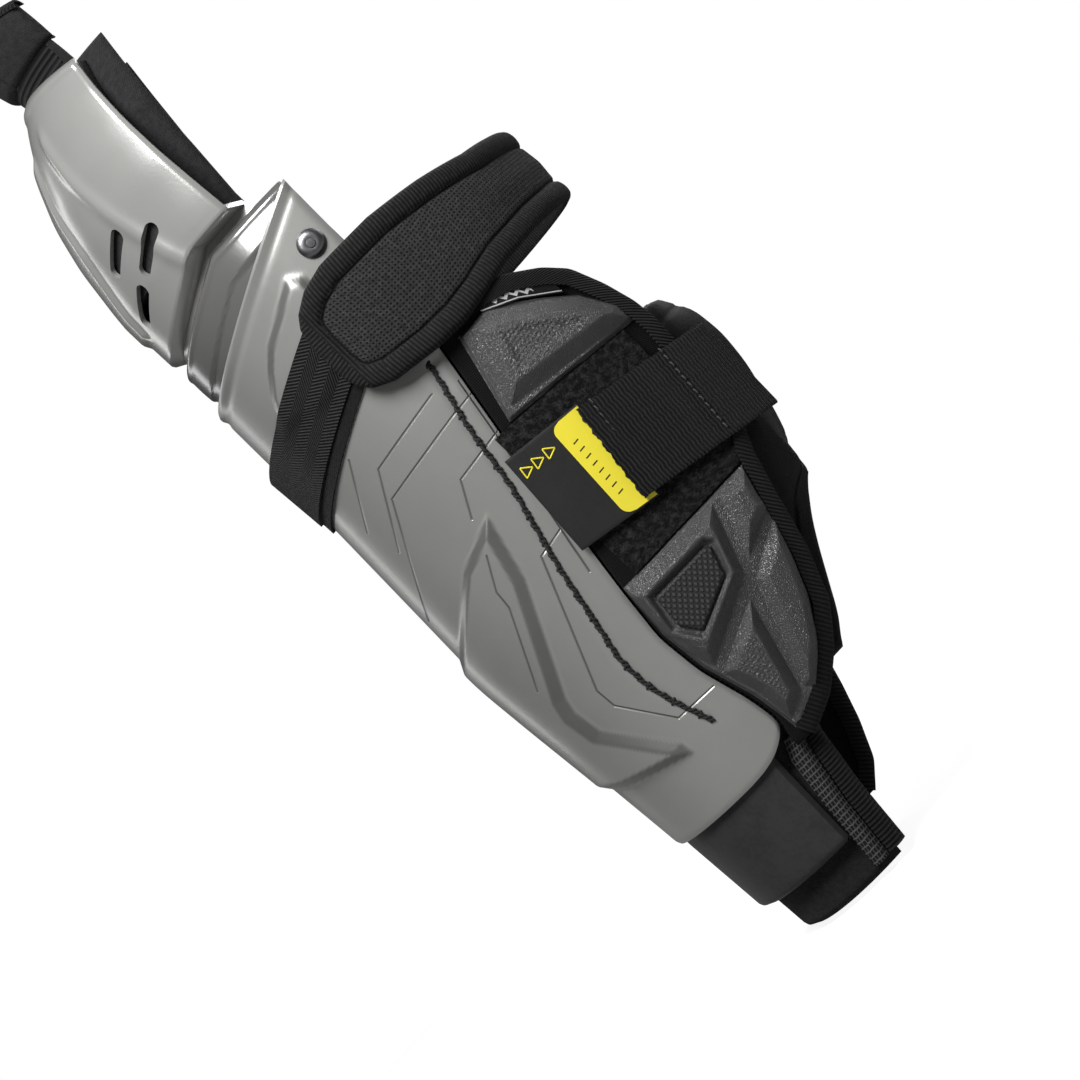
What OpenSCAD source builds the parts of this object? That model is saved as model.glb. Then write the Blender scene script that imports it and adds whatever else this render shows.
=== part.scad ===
// Knee and shin guard for the left leg: an articulated hard shell over a foam carcass,
// with hinged calf wings, a sliding calf panel and two straps.
// Frame: +Z up along the leg, -Y to the front, +X to the outer (lateral) side.
// The origin is the knee centre, in the middle of the leg.

/* [Shell] */
// Half width of the shin shell at the calf
shell_half_w = 79; // [76:0.5:82]
// Wall thickness of the moulded shells
shell_t = 2.4; // [2:0.1:2.6]
// Height of the raised plates on the shells
raise_h = 3.2; // [2:0.1:4]

/* [Padding] */
// Thickness of the foam carcass under the shells
foam_t = 6; // [5:0.5:6.5]
// Thickness of the removable liner
liner_t = 8; // [6:0.5:9]
// Thickness of the calf wings
wing_t = 6.5; // [5:0.25:7]
// Height of the moulded pads above the wings
pad_h = 4.5; // [3:0.25:5]

/* [Straps] */
// Width of the elastic strap round the front of the shell
front_strap_w = 27; // [22:1:32]
// Width of the calf strap
calf_strap_w = 45; // [38:1:48]
// Thickness of the webbing
web_t = 1.8; // [1.4:0.1:2]

/* [Hidden] */

// Heights of the main levels, from the knee centre
lip_z = -84;            // front of the shin shell's upper lip
lip_rise = 40;          // how much higher the lip is at the sides
shell_bot_z = -348;     // lower edge of the shin shell
foam_top_z = -112;      // the padding stops here, so that the knee link can slide in
liner_bot_z = -412;     // lower edge of the liner
skin_gap = 0.4;         // gap between layers that lie on each other

// Knee pivot: the link and the cap both turn round the rivets at its two ends
pivot = [0, -3, -70];
link_r = 75.8;          // outer radius of the knee link
cap_r = link_r - shell_t - 0.8;     // outer radius of the cap's rim, under the link
rivet_r = 3;

// Shin sections by height: share of the half width, front, middle and side edge
half_w = [[-420, 0.67], [-346, 0.74], [-279, 0.88], [-210, 0.96], [-150, 1], [-60, 1.01]];
front_y = [[-420, 74], [-346, 78], [-310, 80.5], [-268, 84], [-240, 86], [-196, 84], [-150, 82], [-84, 81]];
mid_y = [[-420, -25], [-346, -21], [-279, -11], [-210, -3], [-150, 0]];
edge_y = [[-352, -17], [-346, -15], [-336, -12], [-322, -14], [-300, -19.6], [-279, -21.4], [-254, -18],
    [-214, -11.4], [-186, -8], [-136, 2], [-110, 6], [-44, 8]];

// The wings follow upright arcs round a line on the other side of the leg
wing_axis = [-40, 8];
wing_r = [[-412, 97], [-346, 99.5], [-279, 111.4], [-214, 115.7], [-150, 118.8], [-100, 119]];
wing_slit = 1;          // slit between the shell's edge and the wing
lateral_bot_z = -350;
lateral_back_y = [[-350, -6], [-343, 10], [-332, 24], [-317, 37], [-296, 46], [-272, 53], [-254, 59],
    [-240, 66], [-189, 70.5], [-178, 69.4], [-165, 66], [-151, 61], [-143, 54], [-134, 40]];
medial_bot_z = -398;
medial_back_y = [[-398, -5], [-388, 5], [-372, 13], [-356, 19], [-340, 24], [-320, 36], [-296, 46],
    [-272, 55], [-250, 63], [-189, 70], [-178, 69], [-165, 66], [-151, 61], [-143, 54], [-134, 40]];
wing_top_z = -134;
band_h = 1.4;           // thickness of the loop band between the pads
strap_base = band_h + 1.2;      // height of the calf strap's underside above the wing
lay_gap = 0.4;          // air under what lies on the wing
panel_clear = 0.8;      // gap between the wing and the calf panel
panel_t = 6;
fold_deg = 38;          // where the calf strap folds round the wing's back edge

function smooth_at(tab, k, w = 9) =
    (lookup(k - w, tab) + 2 * lookup(k - w / 2, tab) + 3 * lookup(k, tab)
     + 2 * lookup(k + w / 2, tab) + lookup(k + w, tab)) / 9;
function flat_list(a) = [for (r = a) each r];
function steps(a, b, n) = [for (i = [0 : n]) a + (b - a) * i / n];
function span(n) = [for (i = [-n : n]) i / n];
function mix(a, b, k) = a + (b - a) * k;

// A closed plate between an outer and an inner grid of points of the same size
module between(a, b) {
    nr = len(a);
    nc = len(a[0]);
    m = nr * nc;
    function cell(i, j) = [i * nc + j, i * nc + j + 1, (i + 1) * nc + j + 1, (i + 1) * nc + j];
    function wall(p, q) = [p, q, q + m, p + m];
    skin = [for (i = [0 : nr - 2]) for (j = [0 : nc - 2]) cell(i, j)];
    under = [for (f = skin) [f[3] + m, f[2] + m, f[1] + m, f[0] + m]];
    sides = [for (i = [0 : nr - 2]) each [
        wall(i * nc, (i + 1) * nc), wall((i + 1) * nc + nc - 1, i * nc + nc - 1)]];
    ends = [for (j = [0 : nc - 2]) each [wall(j + 1, j), wall((nr - 1) * nc + j, (nr - 1) * nc + j + 1)]];
    quads = concat(skin, under, sides, ends);
    polyhedron(points = concat(flat_list(a), flat_list(b)),
               faces = [for (f = quads) each [[f[2], f[1], f[0]], [f[3], f[2], f[0]]]]);
}

// A closed tube through rings of points
module tube(rings) {
    n = len(rings);
    k = len(rings[0]);
    function idx(i, j) = i * k + (j % k);
    walls = [for (i = [0 : n - 2]) for (j = [0 : k - 1]) each [
        [idx(i, j), idx(i + 1, j + 1), idx(i, j + 1)], [idx(i, j), idx(i + 1, j), idx(i + 1, j + 1)]]];
    caps = [for (j = [1 : k - 2]) each [
        [idx(0, 0), idx(0, j), idx(0, j + 1)], [idx(n - 1, 0), idx(n - 1, j + 1), idx(n - 1, j)]]];
    polyhedron(points = flat_list(rings), faces = concat(walls, caps));
}

// ---- Shin shell -----------------------------------------------------------------------------
function sec_a(z) = shell_half_w * smooth_at(half_w, z);
function sec_c(z) = smooth_at(mid_y, z);
function sec_b(z) = smooth_at(front_y, z) + sec_c(z);
// Point of the shin section at the angle th from the front, drop mm inside the outer face
function shin_pt(th, z, drop) =
    [(sec_a(z) - drop) * sin(th), sec_c(z) - (sec_b(z) - drop) * cos(th), z];
function shin_deg(y, z) = acos(max(-1, min(1, (sec_c(z) - y) / sec_b(z))));
function edge_deg(z) = shin_deg(smooth_at(edge_y, z, 5), z);

// Raised plate low on the shell: its outline seen from the side, by height or by depth
plate_side = [[-323, -46], [-316, -44], [-288, -64], [-275, -66], [-268, -64], [-223, -41], [-195, -32]];
plate_top = [[-90, -240], [-80, -233], [-65, -210], [-56, -203], [-38, -195], [-30, -193]];
plate_bot = [[-90, -299], [-80, -301], [-72, -313], [-45, -323]];
plate_slope = 3.5;
function plate_lift(y, z) =
    let (s = min(lookup(z, plate_side) - y, lookup(y, plate_top) - z, z - lookup(y, plate_bot)))
    raise_h * max(0, min(1, s / plate_slope));

function lip_at(u) = lip_z + lip_rise * (1 - cos(90 * u));
function hem_at(u) = shell_bot_z + 9 * pow(abs(u), 14);
function shell_z(u, v) = mix(hem_at(u), lip_at(u), v);
function shell_outer(u, v) =
    let (z = shell_z(u, v), th = u * edge_deg(z))
    shin_pt(th, z, -plate_lift(shin_pt(th, z, 0).y, z));
function shell_inner(u, v) = let (z = shell_z(u, v)) shin_pt(u * edge_deg(z), z, shell_t);

module pivot_hole(r) {
    translate(pivot) rotate([0, 90, 0]) cylinder(r = r, h = 200, center = true, $fn = 24);
}

module shin_shell() {
    vs = steps(0, 1, 30);
    us = span(14);
    color([0.62, 0.62, 0.60]) difference() {
        between([for (v = vs) [for (u = us) shell_outer(u, v)]],
                [for (v = vs) [for (u = us) shell_inner(u, v)]]);
        pivot_hole(rivet_r);
    }
}

// Thread that sews the shell to the carcass, lying just inside the shell's side edge
stitch_y = [[-318, -30], [-300, -36], [-287, -38.5], [-273, -38.5], [-259, -35], [-231, -28.7],
    [-194, -18], [-166, -13], [-137, -5.3]];
thread_r = 0.9;
function thread_ring(z) =
    let (p = shin_pt(shin_deg(smooth_at(stitch_y, z, 5), z), z, 0), d = [p.x, p.y - sec_c(z)],
         n = d / norm(d))
    [for (k = [0 : 5])
        p + [n.x, n.y, 0] * (0.8 + 0.7 * cos(60 * k)) + [-n.y, n.x, 0] * thread_r * sin(60 * k)];
module stitching() {
    color([0.05, 0.05, 0.05]) tube([for (z = steps(-317, -139, 22)) thread_ring(z)]);
}
module stitch_lateral() stitching();
module stitch_medial() mirror([1, 0, 0]) stitching();

// ---- Carcass and liner ----------------------------------------------------------------------
foam_drop = shell_t + skin_gap;
liner_drop = foam_drop + foam_t + skin_gap;

// A layer inside the shell, from z0 up to z1, that ends extra degrees past the shell's edge
module layer(z0, z1, extra, drop, t, nv, nu) {
    vs = steps(z0, z1, nv);
    function row(z, d) = [for (u = span(nu)) shin_pt(u * (edge_deg(z) + extra), z, d)];
    between([for (z = vs) row(z, drop)], [for (z = vs) row(z, drop + t)]);
}
module shin_foam() color([0.07, 0.07, 0.07]) layer(-340, foam_top_z, -0.6, foam_drop, foam_t, 18, 10);
module ankle_skirt() color([0.2, 0.2, 0.2]) layer(-392, -340.4, -9, foam_drop, foam_t, 6, 10);
module shin_liner() color([0.09, 0.09, 0.1]) layer(liner_bot_z, foam_top_z, 8, liner_drop, liner_t, 20, 10);

// Textile side of the liner below the outer wing, and the tape that binds it
side_t = 3;
function side_grid(y0, y1, drop) =
    [for (z = steps(-408, -353, 5)) [for (k = steps(0, 1, 4)) shin_pt(shin_deg(mix(y0, y1, k), z), z, drop)]];
module liner_side() {
    color([0.3, 0.3, 0.31])
        between(side_grid(-23, -6, liner_drop - skin_gap - side_t),
                side_grid(-23, -6, liner_drop - skin_gap));
}
module liner_binding() {
    color([0.06, 0.06, 0.06])
        between(side_grid(-5.8, -0.5, liner_drop - skin_gap - side_t - 0.8),
                side_grid(-5.8, -0.5, liner_drop - skin_gap));
}

// ---- Elastic strap round the front, and the knee wrap ----------------------------------------
function strap_mid(th) = -133 + 40 * pow(1 - cos(min(abs(th), 90)), 0.8);
strap_drop = -skin_gap;
module front_strap() {
    ths = steps(-90, 92, 26);
    function row(k, d) = [for (th = ths) shin_pt(th, strap_mid(th) + k * front_strap_w / 2, d)];
    color([0.07, 0.07, 0.07])
        between([for (k = steps(-1, 1, 2)) row(k, strap_drop - web_t)],
                [for (k = steps(-1, 1, 2)) row(k, strap_drop)]);
}

wrap_t = 3;
hook_t = 1;
wrap_drop = strap_drop - web_t - hook_t - 0.6;
wrap_joint_deg = 120;
wrap_bot_z = -131;
wrap_top_z = -88;
// The wrap runs from its rounded front end on the outer side, behind the knee, to the inner side
module wrap_back() {
    ths = steps(wrap_joint_deg + 0.6, 282, 22);
    function row(z, d) = [for (th = ths) shin_pt(th, z, d)];
    zs = steps(wrap_bot_z, wrap_top_z, 3);
    color([0.08, 0.08, 0.08])
        between([for (z = zs) row(z, wrap_drop - wrap_t)], [for (z = zs) row(z, wrap_drop)]);
}
// Where the wrap and the elastic strap are sewn to the inner side of the shell
module strap_anchor() {
    ths = steps(-86, -79, 3);
    function row(z, d) = [for (th = ths) shin_pt(th, z, d)];
    zs = [-130, -116];
    color([0.06, 0.06, 0.06])
        between([for (z = zs) row(z, wrap_drop + skin_gap)], [for (z = zs) row(z, strap_drop)]);
}

// Rounded tab: y runs from the front end back to the joint
tab_front_y = -31;
tab_round = 20;
tab_mid_z = -106;
tab_half_w = 25;
function tab_half(y) =
    let (s = max(0, min(1, (y - tab_front_y) / tab_round)))
    (tab_half_w - 7 + 7 * s) * sqrt(max(0.02, 1 - (1 - s) * (1 - s)));
function tab_grid(y0, y1, grow, d, n) =
    [for (k = steps(-1, 1, 6)) [for (y = steps(y0, y1, n))
        let (z = tab_mid_z + k * (tab_half(y) + grow)) shin_pt(shin_deg(y, z), z, d)]];
wrap_joint_y = 40;
module wrap_tab() {
    color([0.1, 0.1, 0.1])
        between(tab_grid(tab_front_y, wrap_joint_y, 0, wrap_drop - wrap_t, 12),
                tab_grid(tab_front_y, wrap_joint_y, 0, wrap_drop, 12));
}
// Raised tape border of the tab
border_w = 4;
module wrap_border() {
    function edge_row(s, w, d) = [for (y = steps(tab_front_y + 1, wrap_joint_y, 12))
        let (z = tab_mid_z + s * (tab_half(y) - w)) shin_pt(shin_deg(y, z), z, d)];
    out_d = wrap_drop - wrap_t - 1.2;
    in_d = wrap_drop - wrap_t - 0.02;
    color([0.05, 0.05, 0.05]) {
        between([edge_row(-1, 0.3, out_d), edge_row(-1, border_w, out_d)],
                [edge_row(-1, 0.3, in_d), edge_row(-1, border_w, in_d)]);
        between([edge_row(1, border_w, out_d), edge_row(1, 0.3, out_d)],
                [edge_row(1, border_w, in_d), edge_row(1, 0.3, in_d)]);
    }
}
// Hook patch under the tab, which grips the elastic strap
module wrap_hook() {
    function row(k, d) = [for (y = steps(-22, 4, 5)) let (z = -108 + k * 11) shin_pt(shin_deg(y, z), z, d)];
    color([0.04, 0.04, 0.04])
        between([for (k = [-1, 1]) row(k, wrap_drop + 0.05)], [for (k = [-1, 1]) row(k, wrap_drop + hook_t)]);
}

// ---- Knee link and cap ----------------------------------------------------------------------
ear_deg = 98;           // the ears reach round to the pivot rivets
function ball(th, z, r) =
    let (q = sqrt(r * r - pow(z - pivot.z, 2))) [q * sin(th), pivot.y - q * cos(th), z];
function link_top(th) = min(-42, -62 + 36 * (1 - cos(th)));
function link_low(u) = -104 + 16 * pow(abs(u), 4);
function link_grid(r) = [for (v = steps(0, 1, 10)) [for (u = span(14))
    let (th = u * ear_deg) ball(th, mix(link_low(u), link_top(th), v), r)]];
module knee_link() {
    color([0.5, 0.5, 0.5]) difference() {
        between(link_grid(link_r), link_grid(link_r - shell_t));
        pivot_hole(rivet_r + 0.3);
    }
}

dome_r = [[-62, 76.6], [-40, 77], [-25, 77], [0, 75.5], [20, 72], [40, 65], [55, 57], [64, 50]];
dome_c = [[-30, -3], [64, 6]];
dome_deg = [[-62, 82], [-30, 80], [0, 76], [64, 68]];
cap_top_z = 64;
function dome(u, z, drop) =
    let (th = u * lookup(z, dome_deg), q = smooth_at(dome_r, z, 6) - drop)
    [q * sin(th), lookup(z, dome_c) - q * cos(th), z];
function rim_low(u) = -80 - 2 * pow(abs(u), 4);
function step_z(th) = link_top(th) + 4;
step_deg = 82;
// Rim rows under the link, then the dome above the step
function cap_grid(drop, lift) = concat(
    [for (v = steps(0, 1, 4)) [for (u = span(14))
        let (th = u * mix(ear_deg, step_deg + 2, v))
        ball(th, mix(rim_low(u), step_z(th) + lift, v), cap_r - drop)]],
    [for (v = steps(0, 1, 11)) [for (u = span(14))
        dome(u, mix(step_z(u * step_deg) + 1.6 + lift, cap_top_z - 9 * u * u, v), drop)]]);
module vent(deg, z, turn) {
    translate([0, 0, z]) rotate([0, 0, deg]) rotate([90, 0, 0]) rotate([0, 0, turn])
        linear_extrude(height = 90) hull() {
            translate([-9, 0]) circle(r = 3, $fn = 16);
            translate([9, 0]) circle(r = 3.4, $fn = 16);
        }
}
module knee_cap() {
    color([0.66, 0.66, 0.64]) difference() {
        between(cap_grid(0, 0), cap_grid(shell_t, shell_t));
        pivot_hole(rivet_r + 0.3);
        for (side = [-1, 1]) {
            vent(side * 30, -34, side * 24);
            vent(side * 50, -22, side * 24);
            vent(side * 38, -12, side * 24);
        }
    }
}
function dome_layer(u, z, drop) =
    let (th = u * 70, q = smooth_at(dome_r, z, 6) - drop) [q * sin(th), lookup(z, dome_c) - q * cos(th), z];
module knee_foam() {
    zs = steps(-31, 52, 8);
    function row(z, d) = [for (u = span(8)) dome_layer(u, z, d)];
    color([0.07, 0.07, 0.07])
        between([for (z = zs) row(z, shell_t + 1)], [for (z = zs) row(z, shell_t + 1 + foam_t)]);
}
liner_max_r = 61.5;
module knee_liner() {
    zs = steps(-100, 56, 12);
    function q(z) =
        min(smooth_at(dome_r, z, 6) - 10, liner_max_r) - (z < -60 ? pow((-60 - z) / 40, 2) * 6 : 0);
    function row(z, d) = [for (u = span(8))
        let (th = u * 84) [(q(z) - d) * sin(th), lookup(z, dome_c) - (q(z) - d) * cos(th), z]];
    color([0.09, 0.09, 0.1])
        between([for (z = zs) row(z, 0)], [for (z = zs) row(z, liner_t)]);
}
// One rivet at each end of the pivot line, with a head on both sides of the shells
module pivot_rivets() {
    color([0.35, 0.35, 0.36])
        for (side = [-1, 1]) translate(pivot) rotate([0, 90 * side, 0]) {
            translate([0, 0, 67.8]) cylinder(r = 6, h = 1.5, $fn = 40);
            translate([0, 0, 67.8]) cylinder(r = rivet_r, h = 14, $fn = 40);
            translate([0, 0, 80.3]) cylinder(r = 6, h = 1.6, $fn = 40);
        }
}

// ---- Thigh flap -----------------------------------------------------------------------------
flap_bot_z = 69;
flap_top_z = 98;
function flap_pt(u, z, d) =
    let (q = 52 + (z - flap_bot_z) * 0.15 - d, th = u * 66) [q * sin(th), 6 - q * cos(th), z];
function flap_top(u) = flap_top_z - 8 * pow(abs(u), 3);
function flap_grid(v0, v1, d, n) =
    [for (v = steps(v0, v1, n)) [for (u = span(8)) flap_pt(u, mix(flap_bot_z, flap_top(u), v), d)]];
module thigh_flap() {
    color([0.12, 0.12, 0.12]) between(flap_grid(0, 0.9, 0, 4), flap_grid(0, 0.9, 7, 4));
}
module thigh_binding() {
    color([0.05, 0.05, 0.05]) between(flap_grid(0.905, 1, -0.8, 1), flap_grid(0.905, 1, 7.8, 1));
}

// ---- Calf wings -----------------------------------------------------------------------------
function wing_rad(z) = smooth_at(wing_r, z);
function wing_deg(y, z) = asin((y - wing_axis.y) / wing_rad(z));
function wing_at(deg, z, up) =
    let (r = wing_rad(z) + up) [wing_axis.x + r * cos(deg), wing_axis.y + r * sin(deg), z];
function wing_front(z) = smooth_at(edge_y, max(z, -346), 5) + wing_slit;
function wing_grid(back, z0, z1, up, trim, nv, nu) =
    [for (z = steps(z0, z1, nv)) [for (k = steps(0, 1, nu))
        wing_at(mix(wing_deg(wing_front(z), z), wing_deg(lookup(z, back) - trim, z), k), z, up)]];
module wing_base(back, bot, n) {
    color([0.08, 0.08, 0.08])
        between(wing_grid(back, bot, wing_top_z, 0, 0, n, 8),
                wing_grid(back, bot, wing_top_z, -wing_t, 0, n, 8));
}
module wing_lateral() wing_base(lateral_back_y, lateral_bot_z, 20);
module wing_medial() mirror([1, 0, 0]) wing_base(medial_back_y, medial_bot_z, 24);

// Ribbed tape round the wing's back edge
bind_w = 5;
bind_h = 1.2;
module wing_tape(back, bot, n) {
    function row(z, up) = [for (w = [bind_w, 0])
        wing_at(wing_deg(lookup(z, back) - w, z), z, up)];
    zs = steps(bot, wing_top_z, n);
    color([0.04, 0.04, 0.04]) between([for (z = zs) row(z, bind_h)], [for (z = zs) row(z, lay_gap)]);
}
module binding_lateral() wing_tape(lateral_back_y, lateral_bot_z + 1, 24);
module binding_medial() mirror([1, 0, 0]) wing_tape(medial_back_y, medial_bot_z + 1, 24);

// Moulded pads: y limits by height, raised over the wing
module pad(front, back, z0, z1, n) {
    function row(z, up, in) = [for (k = steps(0, 1, 5))
        wing_at(wing_deg(mix(lookup(z, front) + in, lookup(z, back) - in, k), z), z, up)];
    zs = steps(z0, z1, n);
    top = [for (z = zs) row(z - (z - (z0 + z1) / 2) * 0.04, pad_h, 2)];
    color([0.24, 0.24, 0.24]) between(top, [for (z = zs) row(z, lay_gap, 0)]);
}
upper_front = [[-182, 58], [-174, 4], [-142, 5], [-138, 8]];
upper_back = [[-182, 62], [-178, 62.5], [-163, 59], [-154, 50], [-146, 38], [-138, 24]];
lower_front = [[-347, -11], [-336, -10], [-322, -12], [-300, -17.6], [-279, -19.4], [-256, -16.4]];
lower_back = [[-347, -8], [-340, 7], [-332, 19], [-317, 32], [-296, 40], [-272, 47], [-256, 52]];
module pad_upper() pad(upper_front, upper_back, -181, -139, 12);
module pad_lower() pad(lower_front, lower_back, -345, -256, 12);
module pad_upper_lateral() pad_upper();
module pad_lower_lateral() pad_lower();
module pad_upper_medial() mirror([1, 0, 0]) pad_upper();
module pad_lower_medial() mirror([1, 0, 0]) pad_lower();

// Five-sided grip insert let into the lower pad
module pad_insert() {
    outline = [[-6, -287], [8, -296], [20, -282], [14, -266], [-4, -268]];
    function ring(up) = [for (p = outline) wing_at(wing_deg(p.x, p.y), p.y, up)];
    color([0.16, 0.16, 0.16])
        tube([ring(pad_h + 0.9), ring(pad_h + 1.6)]);
}

// A patch on the wing: y0 and y1 may differ at its lower and upper edges
function patch_rows(y0, y1, z_lo, z_hi, up, nv, nu) =
    [for (v = steps(0, 1, nv)) [for (k = steps(0, 1, nu))
        let (y = mix(y0, y1, k), z = mix(lookup(y, z_lo), lookup(y, z_hi), v))
        wing_at(wing_deg(y, z), z, up)]];
module patch(y0, y1, z_lo, z_hi, up, t, nv = 2, nu = 8) {
    between(patch_rows(y0, y1, z_lo, z_hi, up + t, nv, nu), patch_rows(y0, y1, z_lo, z_hi, up, nv, nu));
}
module loop_band() {
    color([0.03, 0.03, 0.03])
        patch(-6, 52, [[-6, -254], [52, -253]], [[-6, -184], [0, -178], [52, -184.5]],
              lay_gap, band_h - lay_gap);
}
module woven_label() {
    color([0.85, 0.85, 0.84])
        patch(26, 50, [[26, -139], [38, -145.4], [50, -153.6]], [[26, -134.4], [38, -139.4], [50, -147.4]],
            lay_gap, 0.7, 1, 4);
}

// ---- Calf panel and strap -------------------------------------------------------------------
panel_bot_z = -336;
panel_top_z = -182;
panel_end = [[-336, 11], [-320, 17], [-300, 24], [-288, 33], [-276, 50], [-266, 84], [-258, 112],
    [-248, 126], [-200, 130], [-190, 122], [-182, 104]];
panel_lean = [[-276, 12], [-262, 9], [-252, 6], [-240, 3.5], [-228, 1], [-212, 0], [-196, 1.5], [-182, 9]];
panel_front = [[-336, 2], [-310, 12], [-290, 18], [-182, 24]];
back_r = 36;            // the panel turns more tightly behind the calf
turn_deg = 38;
// Point of the panel's section: the wing's arc up to the turn, then a tighter arc that leans
// in towards the leg near the panel's top and bottom
function panel_at(deg, z, up) =
    let (s = max(0, min(1, (deg - 30) / 40)), lean = lookup(z, panel_lean) * s * s * (3 - 2 * s),
         k = min(deg, turn_deg), r = wing_rad(z) - wing_t - panel_clear - lean - back_r, q = back_r + up)
    [wing_axis.x + r * cos(k) + q * cos(deg), wing_axis.y + r * sin(k) + q * sin(deg), z];
module calf_panel() {
    function row(z, up) = [for (k = steps(0, 1, 12))
        panel_at(mix(wing_deg(lookup(z, panel_front), z), lookup(z, panel_end), k), z, up)];
    zs = steps(panel_bot_z, panel_top_z, 14);
    color([0.05, 0.05, 0.05]) between([for (z = zs) row(z, 0)], [for (z = zs) row(z, -panel_t)]);
}

strap_top = [[18, -191], [84, -203.5]];
function strap_z(y, k) = lookup(y, strap_top) - k * calf_strap_w;
// Sewn end of the strap: from the calf panel out round the wing's back edge
module strap_root() {
    seat = -wing_t - panel_clear + 0.1;
    inner = [[36, seat], [36.5, -3], [37.2, 1], [fold_deg - 0.2, strap_base]];
    outer = [[39.6, seat - 0.1], [40.3, -3], [39.7, 2.4], [fold_deg + 0.15, strap_base + web_t]];
    function row(path, k) = [for (p = path) wing_at(p[0], strap_z(82, k), p[1])];
    color([0.07, 0.07, 0.07]) between([row(outer, 0), row(outer, 1)], [row(inner, 0), row(inner, 1)]);
}
// The part of the strap that peels off, with its hook patch and its plastic pull tab
strap_end_y = 18.5;
function strap_grid(k0, k1, y0, deg1, up, n) =
    [for (k = [k1, k0]) [for (i = steps(0, 1, n))
        let (z0 = strap_z(y0, k), deg = mix(wing_deg(y0, z0), deg1, i),
             z = strap_z(wing_axis.y + wing_rad(z0) * sin(deg), k)) wing_at(deg, z, up)]];
module calf_strap() {
    color([0.06, 0.06, 0.06])
        between(strap_grid(0, 1, strap_end_y, fold_deg - 0.35, strap_base + web_t, 12),
                strap_grid(0, 1, strap_end_y, fold_deg - 0.35, strap_base, 12));
}
module calf_hook() {
    color([0.02, 0.02, 0.02])
        between(strap_grid(0.12, 0.88, 22, 22, strap_base - 0.2, 8),
                strap_grid(0.12, 0.88, 22, 22, band_h + 0.3, 8));
}
tab_t = 1.6;
tab_y = [-10, 18];
tab_z = [-235, -186];
module pull_tab() {
    color([0.2, 0.2, 0.2])
        patch(tab_y[0], tab_y[1], [[0, tab_z[0]]], [[0, tab_z[1]]], strap_base, tab_t, 2, 6);
}
module tab_band() {
    color([1, 0.93, 0.2])
        patch(7, 17.6, [[0, tab_z[0] + 0.6]], [[0, tab_z[1] - 0.6]], strap_base + tab_t + 0.02, 0.5, 2, 3);
}
arrow_w = 4.8;
arrow_pitch = 5.4;
module tab_arrows() {
    at = strap_base + tab_t + 0.02;
    function corner(y, z, up) = wing_at(wing_deg(y, z), z, up);
    function tri(i, up) = let (y = tab_y[0] + 0.6 + i * arrow_pitch)
        [corner(y, -196.5, up), corner(y + arrow_w, -193.5, up), corner(y, -190.5, up)];
    color([1, 0.93, 0.2])
        for (i = [0 : 2]) tube([tri(i, at), tri(i, at + 0.3)]);
}

shin_shell();
stitch_lateral();
stitch_medial();
shin_foam();
ankle_skirt();
shin_liner();
liner_side();
liner_binding();
front_strap();
strap_anchor();
wrap_back();
pivot_rivets();
wrap_tab();
wrap_border();
wrap_hook();
knee_link();
knee_cap();
knee_foam();
knee_liner();
thigh_flap();
thigh_binding();
wing_lateral();
pad_upper_lateral();
pad_lower_lateral();
pad_insert();
loop_band();
binding_lateral();
woven_label();
wing_medial();
pad_upper_medial();
pad_lower_medial();
binding_medial();
calf_panel();
strap_root();
calf_strap();
calf_hook();
pull_tab();
tab_band();
tab_arrows();
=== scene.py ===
import math
import bpy
import numpy as np
from mathutils import Matrix, Vector


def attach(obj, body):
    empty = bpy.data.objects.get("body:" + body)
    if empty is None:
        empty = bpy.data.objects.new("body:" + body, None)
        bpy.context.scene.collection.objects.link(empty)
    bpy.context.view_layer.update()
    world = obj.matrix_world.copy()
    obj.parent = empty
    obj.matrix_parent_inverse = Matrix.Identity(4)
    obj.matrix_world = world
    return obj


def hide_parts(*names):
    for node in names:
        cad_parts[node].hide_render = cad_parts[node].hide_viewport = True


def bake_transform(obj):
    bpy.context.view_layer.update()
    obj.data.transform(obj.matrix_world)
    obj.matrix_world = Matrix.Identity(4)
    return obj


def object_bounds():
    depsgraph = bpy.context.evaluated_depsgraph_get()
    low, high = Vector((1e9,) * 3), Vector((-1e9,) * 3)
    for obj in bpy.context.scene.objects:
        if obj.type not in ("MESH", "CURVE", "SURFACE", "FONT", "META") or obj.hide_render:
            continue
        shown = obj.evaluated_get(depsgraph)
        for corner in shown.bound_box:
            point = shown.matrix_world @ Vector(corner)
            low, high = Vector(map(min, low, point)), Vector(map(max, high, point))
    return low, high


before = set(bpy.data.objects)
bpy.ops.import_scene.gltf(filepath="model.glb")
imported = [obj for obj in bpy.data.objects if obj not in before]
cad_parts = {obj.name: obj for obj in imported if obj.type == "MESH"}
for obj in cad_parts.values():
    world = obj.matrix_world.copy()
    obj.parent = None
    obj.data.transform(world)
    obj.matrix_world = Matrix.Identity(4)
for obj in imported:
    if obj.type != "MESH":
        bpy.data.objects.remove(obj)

MM = 0.001
cad_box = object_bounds()

# ---- Camera, floor and light ---------------------------------------------------------------
# The guard is seen square from its outer side, with the leg lying diagonally across the view:
# the knee at the upper left, the ankle at the lower right. The key light stands over the knee and
# weaker ones behind the calf, before the shin and on the inner side.
seen_point = Vector((0.070, -0.0256, -0.217))
distance = 1.3
field = 0.432
down_leg = (0.724, -0.690)      # the leg's downward direction, across and up the view

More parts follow.
